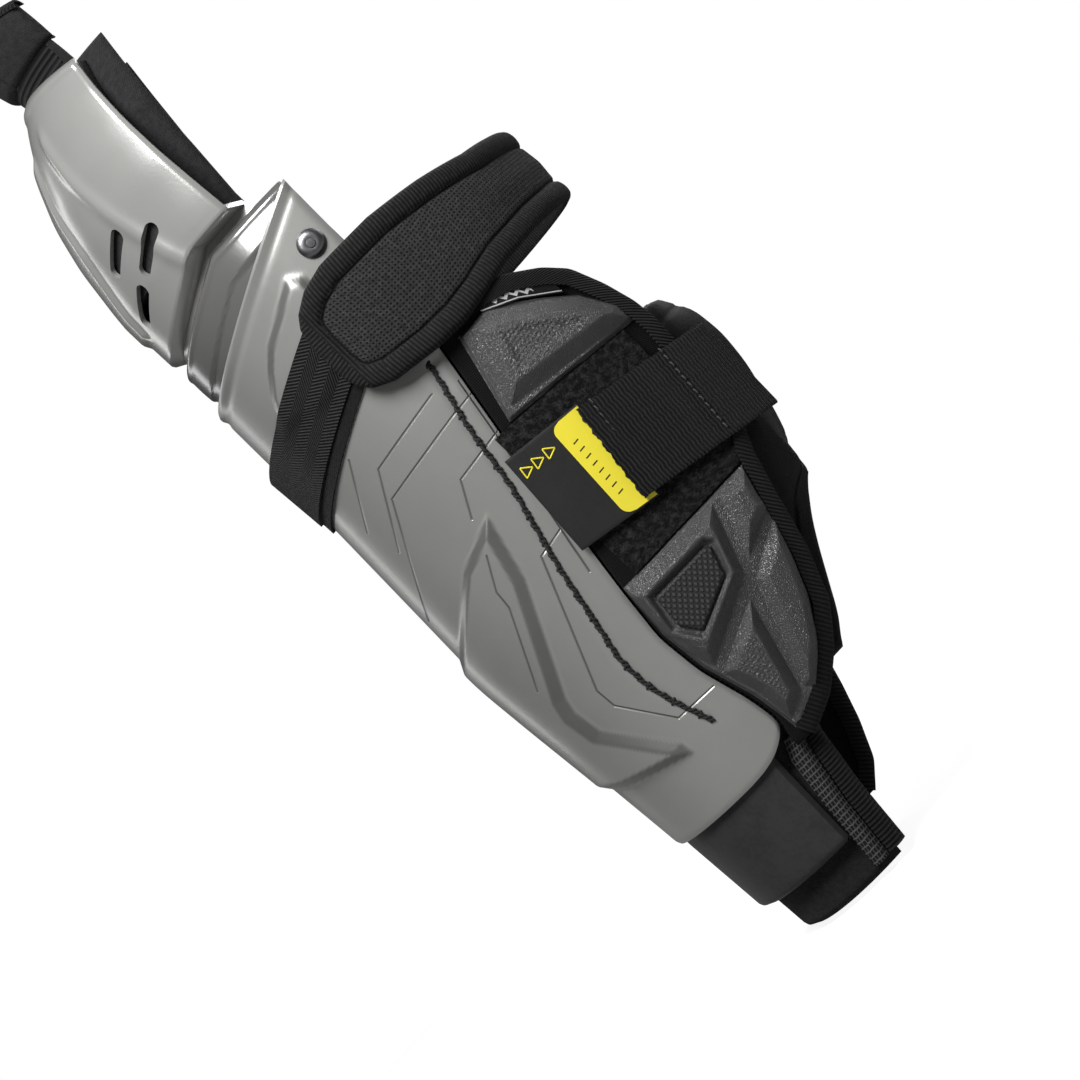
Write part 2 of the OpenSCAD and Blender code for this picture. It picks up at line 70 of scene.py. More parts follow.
view_right = Vector((0, -down_leg[1], -down_leg[0]))
view_up = Vector((0, down_leg[0], -down_leg[1]))
camera_data = bpy.data.cameras.new("camera")
camera_data.lens = camera_data.sensor_width * distance / field
camera = bpy.data.objects.new("camera", camera_data)
bpy.context.scene.collection.objects.link(camera)
camera.matrix_world = Matrix((
    (view_right.x, view_up.x, 1, seen_point.x + distance),
    (view_right.y, view_up.y, 0, seen_point.y),
    (view_right.z, view_up.z, 0, seen_point.z),
    (0, 0, 0, 1)))
bpy.context.scene.camera = camera
bpy.context.scene.view_settings.view_transform = "Standard"


def soft_box(name, place, power, width, height):
    """An area light at a place, turned to the middle of the guard."""
    lamp = bpy.data.lights.new(name, "AREA")
    lamp.shape = "RECTANGLE"
    lamp.size, lamp.size_y, lamp.energy = width, height, power
    box = bpy.data.objects.new(name, lamp)
    bpy.context.scene.collection.objects.link(box)
    box.location = place
    box.rotation_euler = (Vector((0, 0, -0.2)) - Vector(place)).to_track_quat("-Z", "Y").to_euler()


soft_box("key_box", (0.62, -0.16, 0.48), 11, 0.4, 0.4)
soft_box("calf_box", (-0.15, 1.1, 0.3), 3, 0.3, 0.9)
soft_box("front_rim", (-0.9, -0.85, 0.0), 1.6, 0.2, 1.2)
soft_box("inner_box", (-1.0, 0.7, 0.7), 8, 0.8, 0.8)

studio = bpy.data.worlds.new("studio")
bpy.context.scene.world = studio
studio.use_nodes = True


def put(tree, kind, *inputs, **settings):
    """Adds a shader node, sets or links its inputs in order, and gives back its first output."""
    made = tree.nodes.new(kind)
    for key, value in settings.items():
        setattr(made, key, value)
    for socket, value in zip(made.inputs, inputs):
        if isinstance(value, bpy.types.NodeSocket):
            tree.links.new(value, socket)
        elif value is not None:
            socket.default_value = value
    return made.outputs[0] if made.outputs else made


def maths(tree, operation, *inputs, **settings):
    return put(tree, "ShaderNodeMath", *inputs, operation=operation, **settings)


def level_of(tree, mark):
    """A mark that a skin keeps at each of its points."""
    made = tree.nodes.new("ShaderNodeAttribute")
    made.attribute_name = mark
    return made.outputs["Fac"]


def coords(tree, source="Object"):
    """Where the material is looked at: in metres on the object, or on its UV map."""
    return tree.nodes.new("ShaderNodeTexCoord").outputs[source]


sky = studio.node_tree
sky.nodes.clear()
seen_white = sky.nodes.new("ShaderNodeLightPath")
lit = put(sky, "ShaderNodeBackground", (0.05, 0.05, 0.05, 1), 1.0)
shown = put(sky, "ShaderNodeBackground", (1, 1, 1, 1), 1.0)
both = put(sky, "ShaderNodeMixShader", seen_white.outputs["Is Camera Ray"], lit, shown)
put(sky, "ShaderNodeOutputWorld", both)


def grey(level):
    return (level,) * 3


def plain_material(name, colour, roughness, **sockets):
    """A material with a Principled shader; gives back the material, its tree and the shader."""
    made = bpy.data.materials.new(name)
    made.use_nodes = True
    shader = made.node_tree.nodes["Principled BSDF"]
    shader.inputs["Base Color"].default_value = (*colour, 1)
    shader.inputs["Roughness"].default_value = roughness
    for key, value in sockets.items():
        shader.inputs[key.replace("_", " ")].default_value = value
    return made, made.node_tree, shader


floor_gap = 0.002
floor_glow = 0.02, 0.87           # what the floor sheds on the guard, and what the camera sees of it
bpy.ops.object.select_all(action="DESELECT")
bpy.ops.mesh.primitive_circle_add(vertices=96, radius=1.2, fill_type="NGON",
                                  location=(0, 0, cad_box[0][2] - floor_gap))
floor = bpy.context.object
floor.name = "floor"
floor_finish, floor_tree, floor_shader = plain_material("pale_floor", grey(0.3), 0.8)
floor_shader.inputs["Emission Color"].default_value = (1, 1, 1, 1)
floor_path = floor_tree.nodes.new("ShaderNodeLightPath")
glow = put(floor_tree, "ShaderNodeMapRange", floor_path.outputs["Is Camera Ray"], 0.0, 1.0, *floor_glow)
floor_tree.links.new(glow, floor_shader.inputs["Emission Strength"])
floor.data.materials.append(floor_finish)

# ---- Shin shell ----------------------------------------------------------------------------
# One injection-moulded plate that wraps the front half of the shin, 2.4 mm thick, painted a
# satin silver grey. It has a rolled lip at the knee, raised plates low down and under the strap,
# and a shallow channel along each side where it is sewn to the carcass.
shell_half_w = 79
shell_t = 2.4
shell_bot_z = -348
lip_z, lip_rise = -84, 40
pivot_y, pivot_z = -3, -70
half_w = ((-420, .67), (-346, .74), (-279, .88), (-210, .96), (-150, 1), (-60, 1.01))
front_y = ((-420, 74), (-346, 78), (-310, 80.5), (-268, 84), (-240, 86), (-196, 84), (-150, 82), (-84, 81))
mid_y = ((-420, -25), (-346, -21), (-279, -11), (-210, -3), (-150, 0))
edge_y = ((-352, -17), (-346, -15), (-336, -12), (-322, -14), (-300, -19.6), (-279, -21.4), (-254, -18),
          (-214, -11.4), (-186, -8), (-136, 2), (-110, 6), (-44, 8))
stitch_y = ((-318, -30), (-300, -36), (-287, -38.5), (-273, -38.5), (-259, -35), (-231, -28.7),
            (-194, -18), (-166, -13), (-137, -5.3))
lower_plate = ((-32, -194), (-40, -223), (-64, -269), (-65.6, -276), (-64, -288), (-45, -315), (-44, -322),
               (-74, -314), (-110, -299), (-110, -248), (-65, -210), (-56, -203))
upper_plate = ((-20, -71), (-33, -78), (-45, -84), (-52, -90), (-60, -99), (-66, -112), (-40, -120),
               (-12, -100), (-14, -76))


def lookup(table, k):
    return np.interp(k, [p[0] for p in table], [p[1] for p in table])


def smooth_at(table, k, w=9.0):
    """The table's value at k, rounded over a window of w."""
    return (lookup(table, k - w) + 2 * lookup(table, k - w / 2) + 3 * lookup(table, k)
            + 2 * lookup(table, k + w / 2) + lookup(table, k + w)) / 9


def ease(x):
    x = np.clip(x, 0, 1)
    return x * x * (3 - 2 * x)


def rounded(span, r):
    """How far a rounded edge of radius r falls at a distance span from the edge."""
    return r * (1 - np.sqrt(np.clip(1 - (1 - np.clip(span / r, 0, 1)) ** 2, 0, 1)))


def depth_in(outline, y, z):
    """How far a point lies inside a closed outline of (y, z) corners; below zero outside it."""
    near = np.full(np.shape(y), 1e9)
    inside = np.zeros(np.shape(y), bool)
    for (ay, az), (by, bz) in zip(outline, outline[1:] + outline[:1]):
        ly, lz = by - ay, bz - az
        k = np.clip(((y - ay) * ly + (z - az) * lz) / (ly * ly + lz * lz), 0, 1)
        near = np.minimum(near, np.hypot(y - ay - k * ly, z - az - k * lz))
        crosses = (az > z) != (bz > z)
        inside ^= crosses & (y < ly * (z - az) / (lz if lz else 1e-9) + ay)
    return np.where(inside, near, -near)


def shin_point(th, z, drop):
    """Point of the shin's section th radians round from the front, drop mm inside the shell."""
    a = shell_half_w * smooth_at(half_w, z) - drop
    c = smooth_at(mid_y, z)
    b = smooth_at(front_y, z) + c - drop
    return a * np.sin(th), c - b * np.cos(th), z


def shin_angle(y, z):
    c = smooth_at(mid_y, z)
    return np.arccos(np.clip((c - y) / (smooth_at(front_y, z) + c), -1, 1))


def edge_angle(z):
    return shin_angle(smooth_at(edge_y, z, 5.0), z)


def lip_height(u):
    return lip_z + lip_rise * (1 - np.cos(np.pi / 2 * u))


def bevel(x):
    x = np.clip(x, 0, 1)
    return np.where(x < 0.8, 1.125 * x, 1 - 2.5 * (1 - x) ** 2)


def shell_lift(y, z, u):
    """Height of the moulded relief above the plain shell."""
    lift = 3.2 * bevel(depth_in(lower_plate, y, z) / 5.2)
    lift += 2.6 * bevel(depth_in(upper_plate, y, z) / 4.8)
    off_stitch = y - smooth_at(stitch_y, z, 5.0)
    sewn = ease((z + 320) / 4) * ease((-134 - z) / 4)
    lift -= 0.8 * np.exp(-(off_stitch / 1.7) ** 2) * sewn
    lift -= 0.5 * ease(off_stitch / 2.5) * sewn
    below_lip = lip_height(u) - z
    lift += 0.9 * np.exp(-((below_lip - 1.6) / 1.3) ** 2) - 0.5 * np.exp(-((below_lip - 5) / 1.5) ** 2)
    return lift


def pick(piece):
    """Makes the piece the only one selected, and the active one."""
    bpy.ops.object.select_all(action="DESELECT")
    piece.select_set(True)
    bpy.context.view_layer.objects.active = piece


def skin(name, across, along, outer, inner, finish, sharp=40, **marks):
    """A closed skin: a grid laid on the surface outer(u, v) and walled to inner(u, v), in mm.
    Its UV map runs in metres across and along the surface. Each mark is kept as an attribute."""
    bpy.ops.object.select_all(action="DESELECT")
    bpy.ops.mesh.primitive_grid_add(x_subdivisions=across, y_subdivisions=along, size=1)
    piece = bpy.context.object
    piece.name = piece.data.name = name
    mesh = piece.data
    count = len(mesh.vertices)
    flat = np.empty(count * 3)
    mesh.vertices.foreach_get("co", flat)
    u, v = flat.reshape(-1, 3)[:, 0] + 0.5, flat.reshape(-1, 3)[:, 1] + 0.5
    top = np.stack(np.broadcast_arrays(*outer(u, v)), 1) * MM
    col, row = np.rint(u * across).astype(int), np.rint(v * along).astype(int)
    grid = np.empty((along + 1, across + 1, 3))
    grid[row, col] = top
    run_u = np.zeros(grid.shape[:2])
    run_v = np.zeros(grid.shape[:2])
    run_u[:, 1:] = np.cumsum(np.linalg.norm(np.diff(grid, axis=1), axis=2), axis=1)
    run_u -= run_u[:, across // 2][:, None]
    run_v[1:] = np.cumsum(np.linalg.norm(np.diff(grid, axis=0), axis=2), axis=0)
    at = np.stack([run_u[row, col], run_v[row, col]], 1)
    loops = np.empty(len(mesh.loops), int)
    mesh.loops.foreach_get("vertex_index", loops)
    mesh.uv_layers[0].data.foreach_set("uv", at[loops].ravel())
    mesh.vertices.foreach_set("co", top.ravel())
    wall = piece.modifiers.new("wall", "SOLIDIFY")
    wall.thickness, wall.offset = MM, -1
    bpy.ops.object.modifier_apply(modifier="wall")
    under = np.stack(np.broadcast_arrays(*inner(u, v)), 1) * MM
    piece.data.vertices.foreach_set("co", np.concatenate([top, under]).ravel())
    piece.data.update()
    for mark, shape in marks.items():
        level = np.broadcast_to(shape(u, v), u.shape)
        kept = piece.data.attributes.new(mark, "FLOAT", "POINT")
        kept.data.foreach_set("value", np.concatenate([level, level]).astype(np.float32))
    piece.data.materials.append(finish)
    bpy.ops.object.shade_smooth_by_angle(angle=math.radians(sharp))
    return piece


def belongs(piece, body, slot, *nodes):
    """The piece moves with a body and stands for CAD nodes; the slot is not used. The body is None for a
    piece that spans two bodies, which is left unattached."""
    if body:
        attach(piece, body)
    if nodes:
        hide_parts(*nodes)


def shell_place(u, v):
    """A grid place's share round the shell, the shell's lower edge there, and the place's height."""
    s = 2 * u - 1
    low = shell_bot_z + 9 * np.abs(s) ** 14
    return s, low, low + v * (lip_height(s) - low)


def shell_outer(u, v):
    s, low, z = shell_place(u, v)
    th = s * edge_angle(z)
    y = shin_point(th, z, 0)[1]
    from_side = (1 - np.abs(s)) * edge_angle(z) * 78
    roll = 1.1 * (1 - ease(from_side / 2.2)) + 0.8 * (1 - ease((z - low) / 2.0))
    return shin_point(th, z, roll - shell_lift(y, z, s))


def plate_slope_shade(u, v):
    """1 on the slopes of the raised plates, where the colour is darkened as painted shade, and 0 elsewhere.
    """
    s, _, z = shell_place(u, v)
    y = shin_point(s * edge_angle(z), z, 0)[1]
    slopes = [ease(deep / 1.2) * ease((wide - deep) / 1.2)
              for deep, wide in ((depth_in(lower_plate, y, z), 5.4), (depth_in(upper_plate, y, z), 5.0))]
    return np.maximum(*slopes)


def shell_inner(u, v):
    s, _, z = shell_place(u, v)
    return shin_point(s * edge_angle(z), z, shell_t)


def new_group(name, inputs, outputs):
    """An empty shader node group; inputs are name: default, outputs are name: socket type."""
    tree = bpy.data.node_groups.new(name, "ShaderNodeTree")
    for key, value in inputs.items():
        kind = "NodeSocketVector" if isinstance(value, tuple) else "NodeSocketFloat"
        tree.interface.new_socket(name=key, in_out="INPUT", socket_type=kind).default_value = value
    for key, kind in outputs.items():
        tree.interface.new_socket(name=key, in_out="OUTPUT", socket_type=kind)
    return tree, tree.nodes.new("NodeGroupInput").outputs, tree.nodes.new("NodeGroupOutput").inputs


def use_group(tree, group, **inputs):
    """Places a node group in a tree, with its inputs set or linked by name."""
    made = tree.nodes.new("ShaderNodeGroup")
    made.node_tree = group
    for key, value in inputs.items():
        socket = made.inputs[key.replace("_", " ")]
        if isinstance(value, bpy.types.NodeSocket):
            tree.links.new(value, socket)
        else:
            socket.default_value = value
    return made.outputs


def bumped(tree, shader, height, distance):
    """Lets a height in the material tilt the shader's normal."""
    bump = tree.nodes.new("ShaderNodeBump")
    bump.inputs["Distance"].default_value = distance
    tree.links.new(height, bump.inputs["Height"])
    tree.links.new(bump.outputs[0], shader.inputs["Normal"])


def tinted(tree, shader, mask, dark, light):
    """Lets a mask mix the shader's colour from dark to light."""
    tint = tree.nodes.new("ShaderNodeMix")
    tint.data_type = "RGBA"
    tint.inputs[6].default_value, tint.inputs[7].default_value = (*dark, 1), (*light, 1)
    tree.links.new(mask, tint.inputs["Factor"])
    tree.links.new(tint.outputs[2], shader.inputs["Base Color"])


# A line scored in the moulding, from one (y, z) point of the guard to another
scored_line, s_in, s_out = new_group(
    "scored line", {"Vector": (0, 0, 0), "Start": (0, 0, 0), "End": (0, 0, 0), "Width": 0.001},
    {"Depth": "NodeSocketFloat"})
flat_place = put(scored_line, "ShaderNodeVectorMath", s_in["Vector"], (0, 1, 1), operation="MULTIPLY")
from_start = put(scored_line, "ShaderNodeVectorMath", flat_place, s_in["Start"], operation="SUBTRACT")
whole = put(scored_line, "ShaderNodeVectorMath", s_in["End"], s_in["Start"], operation="SUBTRACT")
dot_nodes = []
for a, b in ((from_start, whole), (whole, whole)):
    dot = scored_line.nodes.new("ShaderNodeVectorMath")
    dot.operation = "DOT_PRODUCT"
    scored_line.links.new(a, dot.inputs[0])
    scored_line.links.new(b, dot.inputs[1])
    dot_nodes.append(dot.outputs["Value"])
share = maths(scored_line, "DIVIDE", *dot_nodes, use_clamp=True)
reach = scored_line.nodes.new("ShaderNodeVectorMath")
reach.operation = "SCALE"
scored_line.links.new(whole, reach.inputs[0])
scored_line.links.new(share, reach.inputs["Scale"])
away = put(scored_line, "ShaderNodeVectorMath", from_start, reach.outputs[0], operation="SUBTRACT")
gap = scored_line.nodes.new("ShaderNodeVectorMath")
gap.operation = "LENGTH"
scored_line.links.new(away, gap.inputs[0])
ratio = maths(scored_line, "DIVIDE", gap.outputs["Value"], s_in["Width"])
scored_line.links.new(maths(scored_line, "SUBTRACT", 1.0, ratio, use_clamp=True),
                      s_out["Depth"])

# Uneven gloss and faint scuffs from handling
handling, h_in, h_out = new_group(
    "handling wear", {"Vector": (0, 0, 0), "Scale": 30.0, "Amount": 0.1},
    {"Shade": "NodeSocketFloat", "Gloss": "NodeSocketFloat"})
cloud = put(handling, "ShaderNodeTexNoise", h_in["Vector"], None, h_in["Scale"], 4.0, 0.6)
scuff_place = put(handling, "ShaderNodeVectorMath", h_in["Vector"], (1, 1, 0.12), operation="MULTIPLY")
scuff_scale = maths(handling, "MULTIPLY", h_in["Scale"], 14.0)
scuff = put(handling, "ShaderNodeTexNoise", scuff_place, None, scuff_scale, 2.0, 0.5)
for source, target in ((cloud, "Shade"), (scuff, "Gloss")):
    centred = maths(handling, "SUBTRACT", source, 0.5)
    scaled = maths(handling, "MULTIPLY", centred, h_in["Amount"])
    handling.links.new(maths(handling, "ADD", scaled, 1.0), h_out[target])

shell_lines = (
    ((-1, -157), (-15, -158)), ((-15, -158), (-55, -162.5)), ((-55, -162.5), (-73.5, -193)),
    ((-73.5, -193), (-82, -207)), ((-13.4, -146), (-50, -150.4)), ((-50, -150.4), (-69, -179)),
    ((-55.6, -139), (-72.3, -164)), ((-6, -175), (-30, -177.5)), ((-30, -177.5), (-38.4, -191.6)),
    ((-17, -220), (-30, -222)), ((-30, -222), (-54, -276)), ((-54, -276), (-53.5, -285)),
    ((-53.5, -285), (-39, -307)), ((-39, -307), (-20, -308)),
    ((-45, -206), (-53, -219)), ((-53, -219), (-54, -227)), ((-54, -227), (-71, -259)),
    ((-2, -150), (-12, -200)), ((-12, -200), (-21, -240)))
score_w = 0.0006


def shell_finish(name, colour, roughness, lines):
    """Painted moulding: satin clear coat over silver grey, with the scored lines as grooves darkened by
    painted shade, and painted shade on the raised plates' slopes where the skin marks them.
    """
    made, tree, shader = plain_material(name, colour, roughness, Metallic=0.45, Coat_Weight=0.25,
                                        Coat_Roughness=0.16)
    place = coords(tree)
    deepest = None
    for (y0, z0), (y1, z1) in lines:
        line = use_group(tree, scored_line, Vector=place, Start=(0, y0 * MM, z0 * MM),
                         End=(0, y1 * MM, z1 * MM), Width=score_w)["Depth"]
        if deepest is not None:
            line = maths(tree, "MAXIMUM", deepest, line)
        deepest = line
    worn = use_group(tree, handling, Vector=place, Scale=22.0, Amount=0.16)
    satin = maths(tree, "MULTIPLY", worn["Gloss"], roughness)
    tree.links.new(satin, shader.inputs["Roughness"])
    tint = tree.nodes.new("ShaderNodeHueSaturation")
    tint.inputs["Color"].default_value = (*colour, 1)
    slope = level_of(tree, "slope")
    # Painted shade on the raised plates' slopes: a painted dark reflection that darkens their colour.
    painted_slope_shade = maths(tree, "MULTIPLY_ADD", slope, -0.55, 1.0)
    shade = maths(tree, "MULTIPLY", worn["Shade"], painted_slope_shade)
    if deepest:
        # The scored lines are darkened as painted shade in their grooves.
        painted_groove_shade = maths(tree, "MULTIPLY_ADD", deepest, -0.62, 1.0)
        shade = maths(tree, "MULTIPLY", shade, painted_groove_shade)
    tree.links.new(shade, tint.inputs["Value"])
    tree.links.new(tint.outputs[0], shader.inputs["Base Color"])
    orange_peel = put(tree, "ShaderNodeTexNoise", place, None, 700.0, 2.0, 0.5)
    peel = maths(tree, "MULTIPLY", orange_peel, 0.05)
    height = peel if deepest is None else maths(tree, "SUBTRACT", peel, deepest)
    bumped(tree, shader, height, 0.0005)
    return made


silver = shell_finish("silver_shell", (0.40, 0.40, 0.385), 0.36, shell_lines)
# The slope mark carries the painted shade on the raised plates' slopes.
shin_shell = skin("shin_shell_skin", 200, 230, shell_outer, shell_inner, silver,
                  slope=plate_slope_shade)
belongs(shin_shell, "shin", "shell", "shin_shell")

# ---- Stitching of the shell ----------------------------------------------------------------
# Thick black waxed yarn, two strands twisted, laid along the channel on each side of the shell
# and knotted about every 12 mm. It sews the shell to the foam carcass.
yarn_r = 0.62
yarn_twist = 4.6
knot_pitch = 12.0


def yarn_material(name, dark, light):
    made, tree, shader = plain_material(name, (dark, dark, dark), 0.75, Sheen_Weight=0.022)
    place = coords(tree)
    fibre = put(tree, "ShaderNodeTexNoise", place, None, 2600.0, 3.0, 0.6)
    bumped(tree, shader, fibre, 0.0004)
    shade = put(tree, "ShaderNodeMapRange", fibre, 0.3, 0.75, dark, light)
    tree.links.new(shade, shader.inputs["Base Color"])
    return made


def laid_thread(name, runs, radius, finish, closed=False, sides=3):
    """Round threads through runs of points in mm, made one mesh."""
    curve = bpy.data.curves.new(name, "CURVE")
    curve.dimensions = "3D"
    curve.bevel_depth, curve.bevel_resolution, curve.use_fill_caps = radius * MM, sides, True
    for run in runs:
        spline = curve.splines.new("POLY")
        spline.points.add(len(run) - 1)
        spline.use_cyclic_u = closed
        for point, place in zip(spline.points, run):
            point.co = (*(Vector(place) * MM), 1)
    piece = bpy.data.objects.new(name, curve)
    bpy.context.scene.collection.objects.link(piece)
    pick(piece)
    bpy.ops.object.convert(target="MESH")
    piece = bpy.context.object
    piece.data.materials.clear()
    piece.data.materials.append(finish)
    bpy.ops.object.shade_smooth_by_angle(angle=math.radians(60))
    return piece


def stitch_run(side):
    """Two twisted strands down the channel and a knot across them at each pitch."""
    z = np.arange(-318.0, -136.0, 0.5)
    y = smooth_at(stitch_y, z, 5.0)
    run = np.concatenate([[0], np.cumsum(np.hypot(np.diff(y), np.diff(z)))])
    runs = []
    for turn in (0, math.pi):
        phase = 2 * math.pi * run / yarn_twist + turn
        wander = 0.22 * np.sin(run * 0.9) + 0.18 * np.sin(run * 2.3 + turn)
        yy = y + 0.62 * np.cos(phase) + wander
        drop = 0.2 - 0.42 * np.sin(phase)
        x, yy, zz = shin_point(shin_angle(yy, z), z, drop)
        runs.append([(side * a, b, c) for a, b, c in zip(x, yy, zz)])
    for k, at in enumerate(np.arange(6.0, run[-1], knot_pitch)):
        s = np.linspace(-1, 1, 9)
        yk = np.interp(at, run, y) - 0.3 + 1.5 * s
        zk = np.interp(at, run, z) + 0.8 * s + 0.5 * math.sin(3.1 * k)
        x, yk, zk = shin_point(shin_angle(yk, zk), zk, -0.2 + 1.4 * s * s)
        runs.append([(side * a, b, c) for a, b, c in zip(x, yk, zk)])
    return runs


black_yarn = yarn_material("black_yarn", 0.006, 0.03)
for side, node in ((1, "stitch_lateral"), (-1, "stitch_medial")):
    thread = laid_thread(node + "_thread", stitch_run(side), yarn_r, black_yarn)
    belongs(thread, "shin", "thread", node)

# ---- Foam carcass and ankle skirt ----------------------------------------------------------
# Closed-cell foam, 6 mm, behind the shell, cut a little short of its side edge. At the ankle a
# smooth dark grey plastic skirt carries on below the shell and covers the liner's end.
foam_drop, foam_t = 2.8, 6
liner_drop, liner_t = 9.2, 8


def cloth(name, dark, light, roughness, weave, depth, source="UV", **sockets):
    """A textile or foam: weave(tree, place) gives a mask between two colours and a height."""
    made, tree, shader = plain_material(name, dark, roughness, Specular_IOR_Level=0.18, **sockets)
    place = coords(tree, source)
    mask, height = weave(tree, place)
    tinted(tree, shader, mask, dark, light)
    bumped(tree, shader, height, depth)
    return made


# Uneven small-scale nap or pores: noise at two sizes
nap, n_in, n_out = new_group("nap", {"Vector": (0, 0, 0), "Scale": 900.0, "Spread": 0.5},
                             {"Height": "NodeSocketFloat"})
fine = put(nap, "ShaderNodeTexNoise", n_in["Vector"], None, n_in["Scale"], 3.0, 0.65)
coarse_scale = maths(nap, "MULTIPLY", n_in["Scale"], 0.22)
coarse = put(nap, "ShaderNodeTexNoise", n_in["Vector"], None, coarse_scale, 2.0, 0.5)
weighed = maths(nap, "MULTIPLY", coarse, n_in["Spread"])
nap.links.new(maths(nap, "ADD", fine, weighed), n_out["Height"])

# Even ridges: a sine along a direction; the direction's length is the turns per metre
ridges, r_in, r_out = new_group("ridges", {"Vector": (0, 0, 0), "Direction": (0, 600, 0)},
                                {"Height": "NodeSocketFloat"})
along = ridges.nodes.new("ShaderNodeVectorMath")
along.operation = "DOT_PRODUCT"
ridges.links.new(r_in["Vector"], along.inputs[0])
ridges.links.new(r_in["Direction"], along.inputs[1])
turns = maths(ridges, "MULTIPLY", along.outputs["Value"], 2 * math.pi)
wave = maths(ridges, "SINE", turns)
ridges.links.new(maths(ridges, "MULTIPLY_ADD", wave, 0.5, 0.5), r_out["Height"])


def napped(tree, place, scale, spread):
    return use_group(tree, nap, Vector=place, Scale=scale, Spread=spread)["Height"]


def ridged(tree, place, direction):
    return use_group(tree, ridges, Vector=place, Direction=direction)["Height"]


def pores(scale, spread):
    def weave(tree, place):
        height = napped(tree, place, scale, spread)
        return put(tree, "ShaderNodeMapRange", height, 0.45, 1.0), height
    return weave


def shin_layer(low, high, more_deg, near, far, edge=2.0):
    """Outer and inner faces of a layer inside the shell, rounded at its edges."""
    def place(u, v, drop):
        s = 2 * u - 1
        z = low + v * (high - low)
        th = s * (edge_angle(np.maximum(z, -346)) + math.radians(more_deg))
        span = np.minimum((1 - np.abs(s)) * 110, np.minimum(v, 1 - v) * (high - low))
        inset = rounded(span, edge)
        return shin_point(th, z, drop(s, v, z, inset))
    return (lambda u, v: place(u, v, lambda s, v, z, inset: near(s, v, z) + inset),
            lambda u, v: place(u, v, lambda s, v, z, inset: far(s, v, z) - inset))


carcass_foam = cloth("closed_cell_foam", grey(0.02), grey(0.04), 0.9, pores(1100.0, 0.6),
                     0.0002, "Object")
outer, inner = shin_layer(-340, -112, -0.6, lambda s, v, z: foam_drop + 0 * z,
                          lambda s, v, z: foam_drop + foam_t + 0 * z)
shin_foam = skin("shin_foam_pad", 60, 90, outer, inner, carcass_foam, 50)
belongs(shin_foam, "shin", "foam", "shin_foam")

skirt_finish = cloth("smooth_skirt", (0.03, 0.03, 0.031), (0.045, 0.045, 0.046), 0.42,
                     pores(500.0, 0.8), 0.00012, "Object")
outer, inner = shin_layer(-392, -340.4, -9, lambda s, v, z: foam_drop + 0.5 * ease((z + 352) / 8),
                          lambda s, v, z: foam_drop + foam_t + 0 * z, 3.0)
ankle_skirt = skin("ankle_skirt_shell", 70, 40, outer, inner, skirt_finish, 50)
belongs(ankle_skirt, "shin", "skirt", "ankle_skirt")

# ---- Shin liner ----------------------------------------------------------------------------
# Padded liner of brushed black knit over soft foam, quilted into channels, with a grey net
# textile at its outer edge near the ankle and a wide ribbed tape that binds the edge.
def brushed(tree, place):
    height = napped(tree, place, 1500.0, 0.8)
    rows = ridged(tree, place, (900.0, 0, 0))
    both = maths(tree, "MULTIPLY_ADD", rows, 0.35, height)
    return put(tree, "ShaderNodeMapRange", height, 0.5, 1.1), both


liner_knit = cloth("brushed_liner", (0.008, 0.008, 0.009), (0.026, 0.026, 0.027), 0.95, brushed, 0.00035,
                   Sheen_Weight=0.037)


def quilt(s, z, columns, step):
    """Depth of the sewn channels: columns down the piece and slanting rows across it."""
    down = np.abs((s * columns) % 1 - 0.5) * 2
    rows = np.abs(((z + 22 * np.abs(s)) / step) % 1 - 0.5) * 2
    return 1.5 * np.exp(-((1 - down) * 9 / columns) ** 2) + 1.3 * np.exp(-((1 - rows) * step / 6) ** 2)


outer, inner = shin_layer(-412, -112, 8, lambda s, v, z: liner_drop + 0 * z,
                          lambda s, v, z: liner_drop + liner_t + 0.8 - quilt(s, z, 2.0, 46.0), 3.5)
shin_liner = skin("shin_liner_pad", 110, 170, outer, inner, liner_knit, 60)
belongs(shin_liner, "shin", "liner", "shin_liner")


def side_strip(front, back, low, high, out, under):
    """A strip on the liner's outer side between two lines of y by height."""
    def place(u, v, drop):
        z = low + v * (high - low)
        y = lookup(front, z) * (1 - u) + lookup(back, z) * u
        return shin_point(shin_angle(y, z), z, drop(u, v))
    return lambda u, v: place(u, v, out), lambda u, v: place(u, v, under)


def net_cells(tree, place):
    cell = tree.nodes.new("ShaderNodeTexVoronoi")
    cell.feature = "DISTANCE_TO_EDGE"
    cell.inputs["Scale"].default_value = 620.0
    cell.inputs["Randomness"].default_value = 0.18
    stretch = put(tree, "ShaderNodeVectorMath", place, (1.0, 0.62, 1.0), operation="MULTIPLY")
    tree.links.new(stretch, cell.inputs["Vector"])
    rib = put(tree, "ShaderNodeMapRange", cell.outputs["Distance"], 0.08, 0.22, 1.0, 0.0)
    return rib, rib


hex_net = cloth("grey_net_textile", grey(0.012), (0.10, 0.10, 0.097), 0.6, net_cells, 0.0006)
net_front = ((-408, -28), (-376, -24), (-353, -20), (-345, -16))
net_back = ((-408, -19), (-379, -15), (-353, -9), (-345, -4))
bulge = lambda u, v: 7.2 - 2.4 * np.sin(np.pi * np.clip(u, 0, 1)) - 0.6 * np.sin(np.pi * v)
outer, inner = side_strip(net_front, net_back, -408, -345, bulge, lambda u, v: 8.9 + 0 * u)
liner_side = skin("liner_side_net", 30, 110, outer, inner, hex_net, 60)
belongs(liner_side, "shin", "hex_mesh", "liner_side")


def ribbed(pitch, cross=2600.0):
    def weave(tree, place):
        rib = ridged(tree, place, (0, 1 / pitch, 0))
        yarn = ridged(tree, place, (cross, 0, 0))
        fuzz = napped(tree, place, 2600.0, 0.4)
        body = maths(tree, "MULTIPLY_ADD", yarn, 0.18, rib)
        height = maths(tree, "MULTIPLY_ADD", fuzz, 0.3, body)
        return maths(tree, "MULTIPLY", rib, fuzz), height
    return weave


